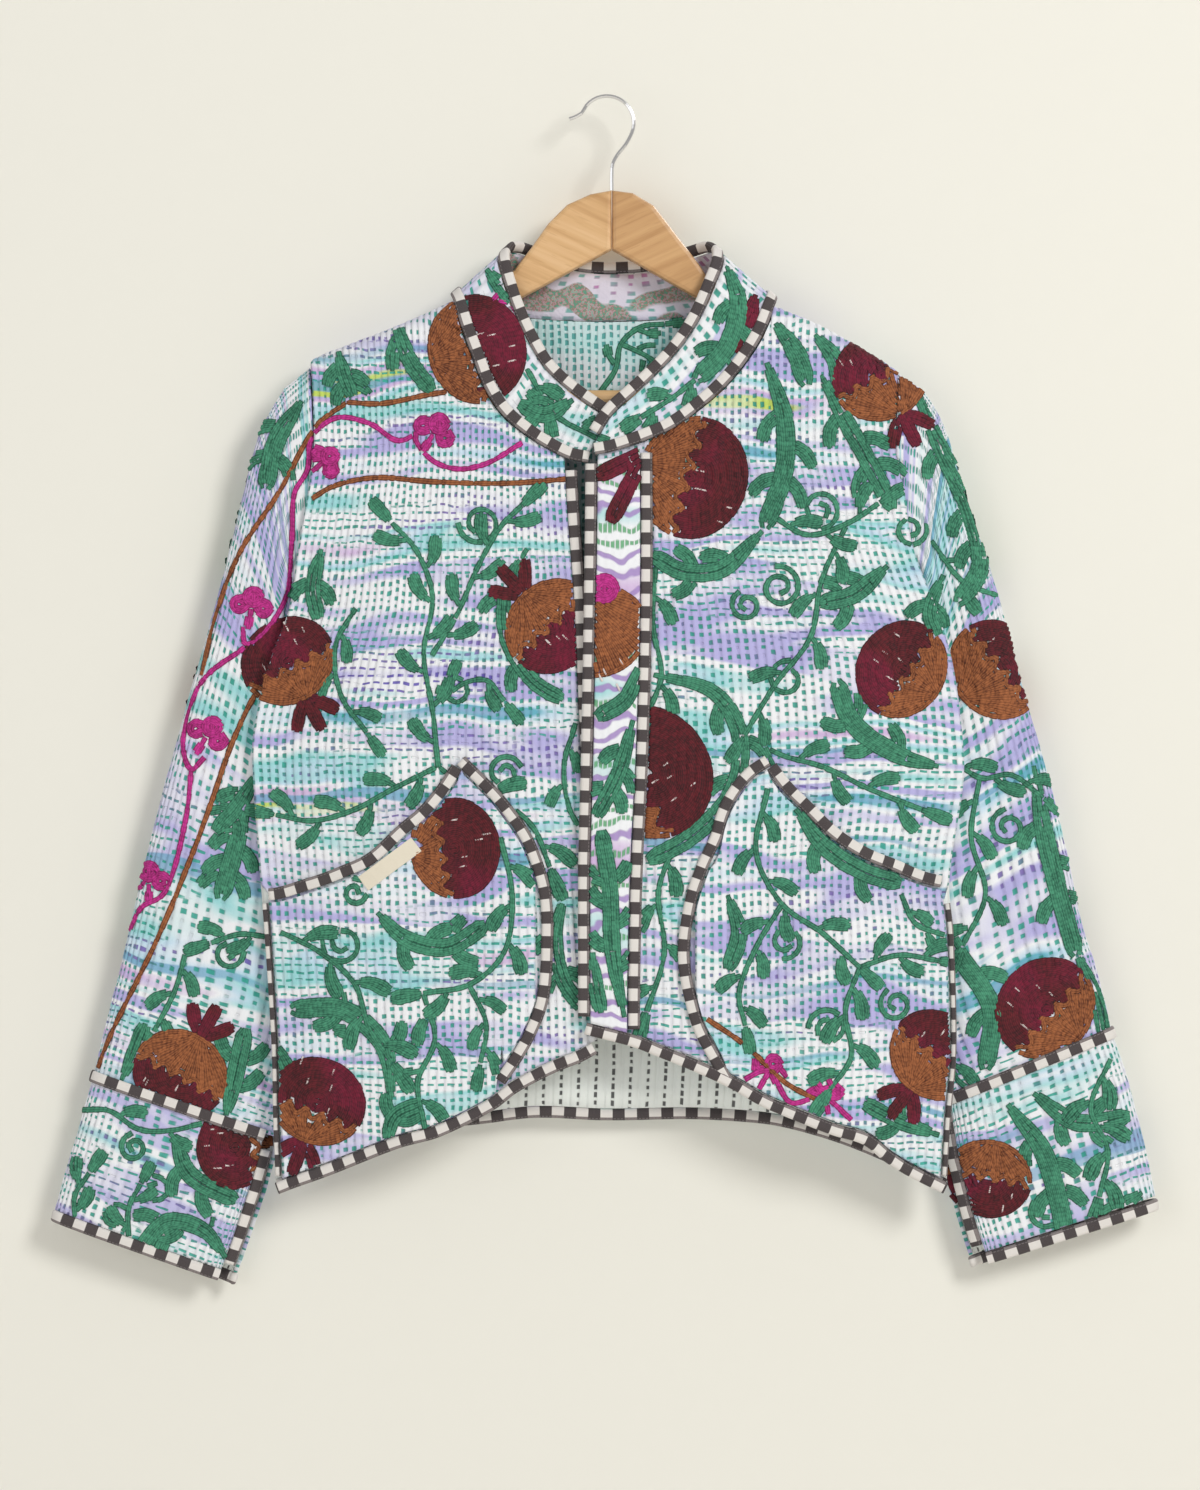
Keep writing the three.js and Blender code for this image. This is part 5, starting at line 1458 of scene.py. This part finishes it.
def drawLeftFront(s):
    s.pomegranate((60, -268), 38, turned(165), 0.46, False)
    s.pomegranate((192, -196), 31, turned(-62), 0.5)
    s.pomegranate((206, -402), 31, turned(-35), 0.42, False)
    s.pomegranate((30, -474), 42, turned(212), 0.36, False)
    s.frond([(112, -188), (124, -226), (124, -262), (110, -304)], 15, 3, 20)
    s.frond([(108, -306), (80, -332), (54, -334), (31, -322)], 14, 2, 17)
    s.branch([(112, -292), (140, -308), (168, -300), (190, -286)], 3, 10, 20)
    s.curl((150, -304), turned(95), 14, 1.5)
    s.curl((118, -330), turned(-80), 15, 1.5, -1)
    s.curl((92, -348), turned(-60), 11, 1.4)
    s.branch([(168, -300), (150, -340), (142, -380), (118, -412), (96, -448)], 5, 10, 20)
    s.frond([(150, -196), (166, -226), (186, -262), (200, -290)], 14, 3, 20)
    s.frond([(196, -330), (172, -350), (148, -356)], 14, 2, 18)
    s.frond([(232, -470), (204, -462), (172, -440), (160, -410)], 18, 3, 17)
    s.frond([(33, -406), (74, -418), (92, -446), (88, -486), (60, -518), (28, -536)], 14, 4, 18)
    s.curl((128, -396), turned(-100), 13, 1.4)
    s.branch([(96, -448), (122, -462), (150, -470), (184, -486), (220, -500)], 5, 10, 20, first=0)
    s.branch([(34, -330), (32, -372), (38, -406), (30, -430)], 3, 10, 20)
    s.branch([(50, -520), (36, -556), (40, -600), (28, -640)], 4, 11, 20)
    s.leaf([(118, -160), (132, -180), (140, -204)], 13)
    s.leaf([(146, -168), (160, -186), (164, -208)], 12)
    s.curl((224, -300), turned(200), 12, 1.4, -1)
    s.frond([(236, -336), (226, -362), (232, -380)], 11, 1, 15)


def drawRightPocket(s):
    s.keepClear((-169, -555), (-133, -523), 8)  # the label is sewn here
    s.pomegranate((-106, -527), 31, turned(188), 0.36, False)
    s.pomegranate((-202, -704), 30, turned(-110), 0.36)
    s.branch([(-74, -520), (-66, -560), (-72, -600), (-96, -622), (-128, -628)], 5, 11, 20)
    s.frond([(-160, -572), (-140, -590), (-112, -596), (-84, -580)], 14, 3, 17)
    s.branch([(-228, -586), (-200, -600), (-176, -622), (-166, -652), (-150, -676)], 5, 11, 22)
    s.frond([(-150, -700), (-156, -664), (-184, -640), (-222, -640)], 16, 3, 18)
    s.curl((-196, -584), turned(-40), 15, 1.5)
    s.branch([(-128, -628), (-120, -660), (-132, -690), (-128, -716)], 4, 10, 20, first=0)
    s.branch([(-96, -622), (-84, -650), (-88, -676)], 3, 9, 18)
    s.curl((-176, -548), turned(-90), 10, 1.3, -1)
    s.leaf([(-232, -664), (-222, -688), (-232, -714)], 12)
    s.frond([(-154, -735), (-148, -714), (-128, -704)], 12, 1, 14)


def drawLeftPocket(s):
    s.pomegranate((230, -672), 30, turned(-127), 0.5)
    s.branch([(112, -486), (104, -530), (122, -566), (150, -586), (176, -610)], 6, 10, 19)
    s.branch([(122, -566), (104, -596), (92, -628), (96, -650)], 4, 10, 18, first=0)
    s.frond([(132, -500), (152, -526), (180, -544), (206, -552)], 14, 3, 17)
    s.branch([(176, -610), (204, -602), (232, -606)], 3, 10, 18)
    s.branch([(176, -610), (166, -640), (170, -672), (156, -694)], 4, 11, 20)
    s.curl((122, -604), turned(80), 12, 1.4)
    s.curl((140, -652), turned(0), 14, 1.5, -1)
    s.curl((196, -626), turned(-60), 12, 1.4)
    s.stem([(70, -646), (96, -664), (124, -690), (146, -702)], "rust")
    s.stem([(92, -690), (112, -682), (128, -704), (150, -700), (170, -716)], "magenta")
    s.flower((112, -684), turned(60), 8)
    s.flower((152, -700), turned(100), 8)
    s.frond([(232, -728), (204, -718), (178, -704)], 12, 1, 15)
    s.leaf([(84, -560), (92, -586), (84, -612)], 11)
    s.branch([(206, -560), (216, -580), (236, -588)], 2, 9, 16)


def drawBand(s):
    s.disc((-2, -346), 10)
    s.pomegranate((-6, -376), 31, turned(115), 1.15, False)
    s.leaf([(26, -250), (10, -259), (-8, -268)], 11, "maroon", 0.8)
    s.leaf([(24, -256), (13, -278), (2, -300)], 11, "maroon", 0.8)
    s.leaf([(24, -398), (12, -424), (-8, -436)], 11)
    s.frond([(18, -438), (8, -474), (-8, -506)], 12, 3, 15)
    s.frond([(12, -644), (4, -600), (2, -556), (-4, -514)], 13, 5, 15)
    s.leaf([(-10, -600), (-8, -620), (-4, -642)], 10)


def drawSleeve(s, side):  # the right sleeve lies at -x
    if side == "right":
        s.stem([(-228, -384), (-260, -445), (-284, -512), (-314, -587), (-349, -659), (-358, -682)], "rust")
        s.stem([(-254, -386), (-285, -411), (-298, -455), (-292, -472), (-283, -464)], "magenta")
        s.stem([(-292, -472), (-296, -508), (-312, -560), (-327, -569), (-336, -586)], "magenta")
        for place, angle in (((-250, -360), 80), ((-282, -450), 60), ((-322, -553), 90)):
            s.flower(place, turned(angle), 9)
        s.pomegranate((-300, -686), 30, turned(61), 0.55)
        s.frond([(-246, -476), (-258, -496), (-276, -516)], 13, 2, 16)
        s.frond([(-254, -500), (-262, -530), (-272, -564)], 15, 4, 17)
        s.branch([(-238, -590), (-258, -588), (-278, -594)], 2, 10, 18)
        s.curl((-262, -590), turned(-110), 12, 1.4, -1)
        s.leaf([(-341, -690), (-332, -670), (-324, -650)], 10)
        s.frond([(-268, -716), (-262, -690), (-254, -654)], 14, 2, 18)
        s.frond([(-214, -214), (-232, -242), (-240, -276)], 15, 2, 18)
        s.branch([(-296, -600), (-304, -628), (-318, -656)], 3, 10, 18)
        return
    s.pomegranate((274, -402), 32, turned(218), 0.55, False)
    s.pomegranate((308, -640), 33, turned(-42), 0.42, False)
    s.frond([(216, -206), (234, -246), (254, -290), (262, -330), (246, -356)], 16, 4, 18)
    s.branch([(228, -312), (250, -340), (276, -350), (292, -352)], 3, 10, 18)
    s.branch([(212, -420), (236, -456), (262, -478), (284, -476), (306, -492)], 5, 10, 20)
    s.frond([(300, -470), (306, -510), (318, -560), (330, -604)], 17, 3, 18)
    s.branch([(262, -478), (256, -520), (266, -560), (250, -596)], 5, 10, 20, first=0)
    s.frond([(226, -560), (246, -600), (270, -640), (266, -684)], 17, 3, 18)
    s.curl((280, -500), turned(-80), 13, 1.4)
    s.curl((230, -490), turned(-100), 12, 1.4, -1)
    s.frond([(330, -600), (346, -640), (350, -668)], 12, 1, 15)
    s.branch([(222, -524), (214, -560), (228, -596)], 3, 10, 18)
    s.branch([(240, -664), (248, -692), (270, -700)], 2, 10, 18)


def drawCuff(s, side):
    if side == "right":
        s.pomegranate((-262, -738), 26, turned(0), 0.25, False)
        s.branch([(-370, -712), (-350, -712), (-329, -725), (-307, -726), (-285, -721)], 2, 10, 17)
        s.curl((-334, -728), turned(-80), 10, 1.4)
        s.frond([(-304, -728), (-294, -756), (-260, -776)], 14, 2, 18)
        s.branch([(-336, -806), (-336, -780), (-328, -764)], 2, 9, 16)
        s.curl((-328, -764), turned(-20), 11, 1.4, -1)
        s.curl((-340, -796), turned(120), 11, 1.4)
        s.frond([(-268, -816), (-284, -796), (-309, -790), (-330, -812)], 13, 3, 17)
        s.branch([(-373, -794), (-374, -772), (-364, -756)], 2, 10, 17, first=0)
        return
    s.pomegranate((268, -760), 27, turned(80), 0.5, False)
    s.frond([(282, -708), (306, -740), (318, -778), (322, -800)], 18, 3, 18)
    s.branch([(354, -676), (340, -710), (352, -740), (346, -772)], 5, 12, 20)
    s.frond([(300, -700), (330, -720), (368, -716)], 14, 2, 16)
    s.curl((300, -776), turned(-40), 12, 1.4)
    s.leaf([(376, -770), (360, -780), (340, -790)], 12)


def drawCollar(s):
    s.on("collar", "front_right").pomegranate((-91, -178), 34, turned(192), 0.46, False)
    s.on("collar")
    s.frond([(-24, -214), (-44, -224), (-62, -216)], 13, 2, 13)
    s.branch([(-56, -192), (-36, -224), (-8, -240)], 3, 11, 16)
    s.frond([(84, -120), (92, -146), (84, -176), (62, -200)], 17, 3, 16)
    s.branch([(66, -196), (46, -212), (24, -226)], 3, 11, 15)
    s.leaf([(104, -140), (98, -160), (86, -180)], 13, "maroon")
    s.leaf([(-84, -122), (-74, -134), (-64, -146)], 11)
    s.disc((-73, -146), 8)


def drawNeck(s):  # on the inside of the back, seen through the neck
    s.branch([(-4, -205), (6, -190), (10, -172), (24, -160), (40, -158)], 2, 7, 14)
    s.branch([(10, -172), (30, -182), (44, -196)], 2, 6, 12)
    s.curl((26, -184), turned(-40), 9, 1.2)


def drawBack(s):
    s.pomegranate((0, -330), 40, turned(-90), 0.45)
    s.pomegranate((-130, -470), 32, turned(-50), 0.42)
    s.pomegranate((132, -476), 32, turned(230), 0.42)
    s.pomegranate((-150, -262), 28, turned(-120), 0.5)
    s.pomegranate((150, -262), 28, turned(-60), 0.5)
    s.pomegranate((4, -600), 32, turned(90), 0.4)
    for m in (-1, 1):
        s.branch([(m * 6, -680), (m * 30, -620), (m * 40, -560), (m * 70, -500), (m * 84, -440)], 7, 11, 22)
        s.branch([(m * 40, -560), (m * 90, -590), (m * 140, -600), (m * 190, -640)], 6, 11, 22, first=0)
        s.branch([(m * 84, -440), (m * 60, -400), (m * 64, -350), (m * 92, -310), (m * 100, -250)], 7, 11, 22)
        s.branch([(m * 92, -310), (m * 140, -330), (m * 180, -330)], 4, 11, 22)
        s.frond([(m * 20, -400), (m * 44, -450), (m * 30, -510)], 15, 3, 18)
        s.frond([(m * 60, -190), (m * 40, -230), (m * 46, -280)], 15, 3, 18)
        s.frond([(m * 200, -380), (m * 176, -410), (m * 184, -460)], 15, 3, 18)
        s.frond([(m * 226, -540), (m * 190, -550), (m * 160, -540)], 15, 2, 18)
        s.frond([(m * 120, -690), (m * 100, -650), (m * 66, -640)], 15, 3, 18)
        s.branch([(m * 200, -720), (m * 190, -680), (m * 150, -660)], 4, 11, 20)
        s.curl((m * 120, -390), turned(90), 15, 1.5, m)
        s.curl((m * 150, -560), turned(-60), 13, 1.5, -m)
        s.curl((m * 20, -250), turned(90), 14, 1.5, m)


def drawCollarBack(s):
    s.branch([(-76, -130), (-38, -119), (0, -123), (38, -119), (76, -130)], 9, 8, 12)


def drawSleeveBack(s, side):
    m = -1 if side == "right" else 1
    s.pomegranate((m * 266, -420), 30, turned(-90 - m * 20), 0.5)
    s.pomegranate((m * 300, -620), 30, turned(90), 0.45)
    s.branch([(m * 226, -230), (m * 246, -300), (m * 240, -360), (m * 226, -430)], 6, 11, 22)
    s.branch([(m * 226, -450), (m * 256, -500), (m * 290, -530), (m * 320, -580)], 6, 11, 22, first=0)
    s.frond([(m * 226, -560), (m * 250, -600), (m * 252, -660)], 16, 3, 18)
    s.frond([(m * 250, -260), (m * 262, -310), (m * 262, -350)], 14, 2, 16)
    s.curl((m * 250, -520), turned(-90), 13, 1.5, m)
    s.branch([(m * 340, -640), (m * 326, -680), (m * 300, -700)], 3, 11, 20)
    s.on(f"cuff_{side}")
    s.branch([(m * 370, -724), (m * 336, -742), (m * 304, -758), (m * 276, -796)], 6, 10, 20)
    s.curl((m * 336, -744), turned(-90), 11, 1.4, m)


# Dressing the jacket

print("painting")
quiltRight = quiltPaint("quiltRight", 2.0)
quiltLeft = quiltPaint("quiltLeft", 7.0)
quiltSleeve = quiltPaint("quiltSleeve", 12.0)
quiltPocket = quiltPaint("quiltPocket", 17.0)
quiltBack = quiltPaint("quiltBack", 22.0)
quiltCuff = quiltPaint("quiltCuff", 27.0, 0.15)
quiltCollar = quiltPaint("quiltCollar", 31.0, 0.3)
lining = liningPaint("lining", 4.0)
checked = bindingPaint()

print("cloth")
pieces = {
    "front_right": makeFront("right", quiltRight, lining),
    "front_left": makeFront("left", quiltLeft, lining),
    "back": makeBack(quiltBack, lining),
    "front_band": makeBand(bandPaint(), lining),
}
for side in ("right", "left"):
    pieces[f"sleeve_{side}"] = makeSleeve(side, quiltSleeve, lining)
    pieces.update(makeCuff(side, quiltCuff, lining, checked))
    pieces[f"pocket_{side}"] = makePocket(side, quiltPocket, lining)
pieces.update(makeCollar(quiltCollar, collarInsidePaint(), checked))
print("bindings")
pieces.update(makeBodyBindings(checked))

for node, piece in pieces.items():
    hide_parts(node)
    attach(piece, "root")

plainNodes = {
    "label": labelPaint(),
    # painted light and shade: both arms are one beech, with lighter colours on the arm at -x and darker
    # colours on the arm at +x, as the light falls on them
    "hanger_wood_right": woodPaint("beechLitArm", (
        (0.52, 0.29, 0.12), (0.68, 0.42, 0.20), (0.74, 0.48, 0.25)), -0.43),
    "hanger_wood_left": woodPaint("beechShadedArm", (
        (0.44, 0.23, 0.09), (0.56, 0.32, 0.14), (0.62, 0.37, 0.17)), 0.43),
    "hanger_bar": woodPaint("beechBar", ((0.56, 0.34, 0.15), (0.70, 0.45, 0.22), (0.76, 0.51, 0.28)), 0.0),
    "hanger_hook": Paint("hookWire", roughness=0.16, metallic=1.0).finish((0.72, 0.72, 0.73)),
}
for node, material in plainNodes.items():
    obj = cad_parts[node]
    obj.data.materials.clear()
    obj.data.materials.append(material)

sheets = {  # the flat width and length of each cut, its area, what holds it up, its bindings
    "front_right": ((0.25, 0.62), 0.118, "hanger_wood_right",
                    ("edge_right", "hem_right", "vent_front_right")),
    "front_left": ((0.27, 0.62), 0.127, "hanger_wood_left", ("hem_left", "vent_front_left")),
    "back": ((0.51, 0.62), 0.266, "hanger_wood_right", ("hem_back",)),
    "front_band": ((0.036, 0.41), 0.0125, "front_left", ("band_inner", "band_outer")),
    "sleeve_right": ((0.31, 0.54), 0.110, "front_right", ()),
    "sleeve_left": ((0.29, 0.52), 0.101, "front_left", ()),
    "cuff_right": ((0.27, 0.14), 0.030, "sleeve_right",
                   ("cuff_top_right", "cuff_end_right", "cuff_slit_right")),
    "cuff_left": ((0.27, 0.15), 0.032, "sleeve_left",
                  ("cuff_top_left", "cuff_end_left", "cuff_slit_left")),
    "pocket_right": ((0.19, 0.29), 0.0365, "front_right", ("pocket_mouth_right", "pocket_curve_right")),
    "pocket_left": ((0.18, 0.29), 0.0350, "front_left", ("pocket_mouth_left", "pocket_curve_left")),
    "collar": ((0.53, 0.052), 0.0215, "front_right", ("collar_edge", "collar_seam")),
}
for node, (flat, area, holder, trims) in sheets.items():
    holds = pieces[holder].name if holder in pieces else holder

print("embroidering")
link = makeLink()
tree, sockets = chainTree()
targets = targetTrees(pieces)
threads = {thread: threadPaint(thread) for thread in threadColours}

front = Sampler()
drawCollar(front)
drawRightFront(front.on("front_right", "sleeve_right"))
drawLeftFront(front.on("front_left", "sleeve_left"))
drawRightPocket(front.on("pocket_right"))
drawLeftPocket(front.on("pocket_left"))
drawBand(front.on("front_band"))
drawSleeve(front.on("sleeve_right"), "right")
drawSleeve(front.on("sleeve_left"), "left")
drawCuff(front.on("cuff_right"), "right")
drawCuff(front.on("cuff_left"), "left")
drawNeck(front.on("back"))
rear = Sampler()
drawBack(rear.on("back", "sleeve_right", "sleeve_left"))
drawCollarBack(rear.on("collar"))
drawSleeveBack(rear.on("sleeve_right"), "right")
drawSleeveBack(rear.on("sleeve_left"), "left")

linkCount = 0
for sampler, fromFront, where in ((front, True, "Front"), (rear, False, "Rear")):
    for number, (thread, rows) in enumerate(sampler.rows.items()):
        for panel, laid in sorted(layRows(rows, targets, fromFront).items()):
            width = embroidery["fleckWidth" if thread == "white" else "linkWidth"]
            stitched = embroider(f"{thread}{where}_{panel}", laid, threads[thread], tree, sockets, link,
                                 number, width)
            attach(stitched, "root")
            linkCount += len(stitched.data.polygons) // len(link.data.polygons)
bpy.data.objects.remove(link)
print("stitched", linkCount, "links")


# Wall, floor, light and camera

studio = {
    "wall": (0.83, 0.82, 0.755),
    "floor": (0.88, 0.85, 0.79),
    "wallDepth": 0.031,
    "floorHeight": -1.6,
    "ceiling": 3,            # height where the wall ends
    "roomHalf": 4,           # half the width of the wall and the floor
    "imageCentre": (-0.0049, -0.455),
    "imageWidth": 0.84,
    "distance": 3.4,
    "clothAhead": 0.015,     # of the fronts before the hanger's plane
}


def makePlane(name, corners, material):
    mesh = bpy.data.meshes.new(name)
    mesh.from_pydata(corners, [], [(0, 1, 2, 3)])
    mesh.materials.append(material)
    obj = bpy.data.objects.new(name, mesh)
    bpy.context.scene.collection.objects.link(obj)
    return obj


def wallPaint():
    paint = Paint("wall", roughness=0.95)
    paint.finish(studio["wall"])
    behind = paint.node("ShaderNodeNewGeometry", output="Backfacing")
    clear = paint.node("ShaderNodeBsdfTransparent")
    both = paint.node("ShaderNodeMixShader", None, {0: behind})
    tree = paint.tree
    tree.links.new(paint.shader.outputs[0], both.socket.node.inputs[1])
    tree.links.new(clear.socket, both.socket.node.inputs[2])
    tree.links.new(both.socket, tree.nodes["Material Output"].inputs["Surface"])
    return paint.material


def addLight(name, place, target, size, power, colour):
    data = bpy.data.lights.new(name, "AREA")
    data.shape = "DISK"
    data.size = size
    data.energy = power
    data.color = colour
    obj = bpy.data.objects.new(name, data)
    obj.location = place
    obj.rotation_euler = (Vector(target) - Vector(place)).to_track_quat("-Z", "Y").to_euler()
    bpy.context.scene.collection.objects.link(obj)


print("studio")
depth, floorHeight = studio["wallDepth"], studio["floorHeight"]
half, ceiling = studio["roomHalf"], studio["ceiling"]
wall = makePlane("wall", [(-half, depth, floorHeight), (half, depth, floorHeight), (half, depth, ceiling),
                          (-half, depth, ceiling)], wallPaint())
wall.visible_shadow = False
wall.visible_diffuse = False  # so that the back is lit when seen from behind
floor = makePlane("floor", [(-half, -half, floorHeight), (half, -half, floorHeight),
                            (half, half, floorHeight), (-half, half, floorHeight)],
                  Paint("floor", roughness=0.9).finish(studio["floor"]))
addLight("key", (2.3, -3.4, 1.5), (0, 0, -0.5), 1.5, 100, (1.0, 0.985, 0.96))
addLight("rear", (1.6, 3.0, 1.2), (0, 0, -0.45), 1.6, 60, (1.0, 0.99, 0.97))
addLight("fill", (-1.8, -2.6, -0.2), (0, 0, -0.45), 2.2, 14, (0.97, 0.98, 1.0))

world = bpy.data.worlds.new("world")
world.use_nodes = True
world.node_tree.nodes["Background"].inputs["Color"].default_value = (1.0, 0.985, 0.955, 1)
world.node_tree.nodes["Background"].inputs["Strength"].default_value = 0.46
bpy.context.scene.world = world

camera = bpy.data.objects.new("camera", bpy.data.cameras.new("camera"))
bpy.context.scene.collection.objects.link(camera)
camera.data.sensor_fit = "HORIZONTAL"
focus = studio["distance"] - studio["clothAhead"]  # imageWidth is measured there
camera.data.lens = camera.data.sensor_width * focus / studio["imageWidth"]
camera.location = (studio["imageCentre"][0], -studio["distance"], studio["imageCentre"][1])
camera.rotation_euler = (math.pi / 2, 0, 0)
bpy.context.scene.camera = camera
bpy.context.scene.view_settings.view_transform = "Standard"

print("finishing")
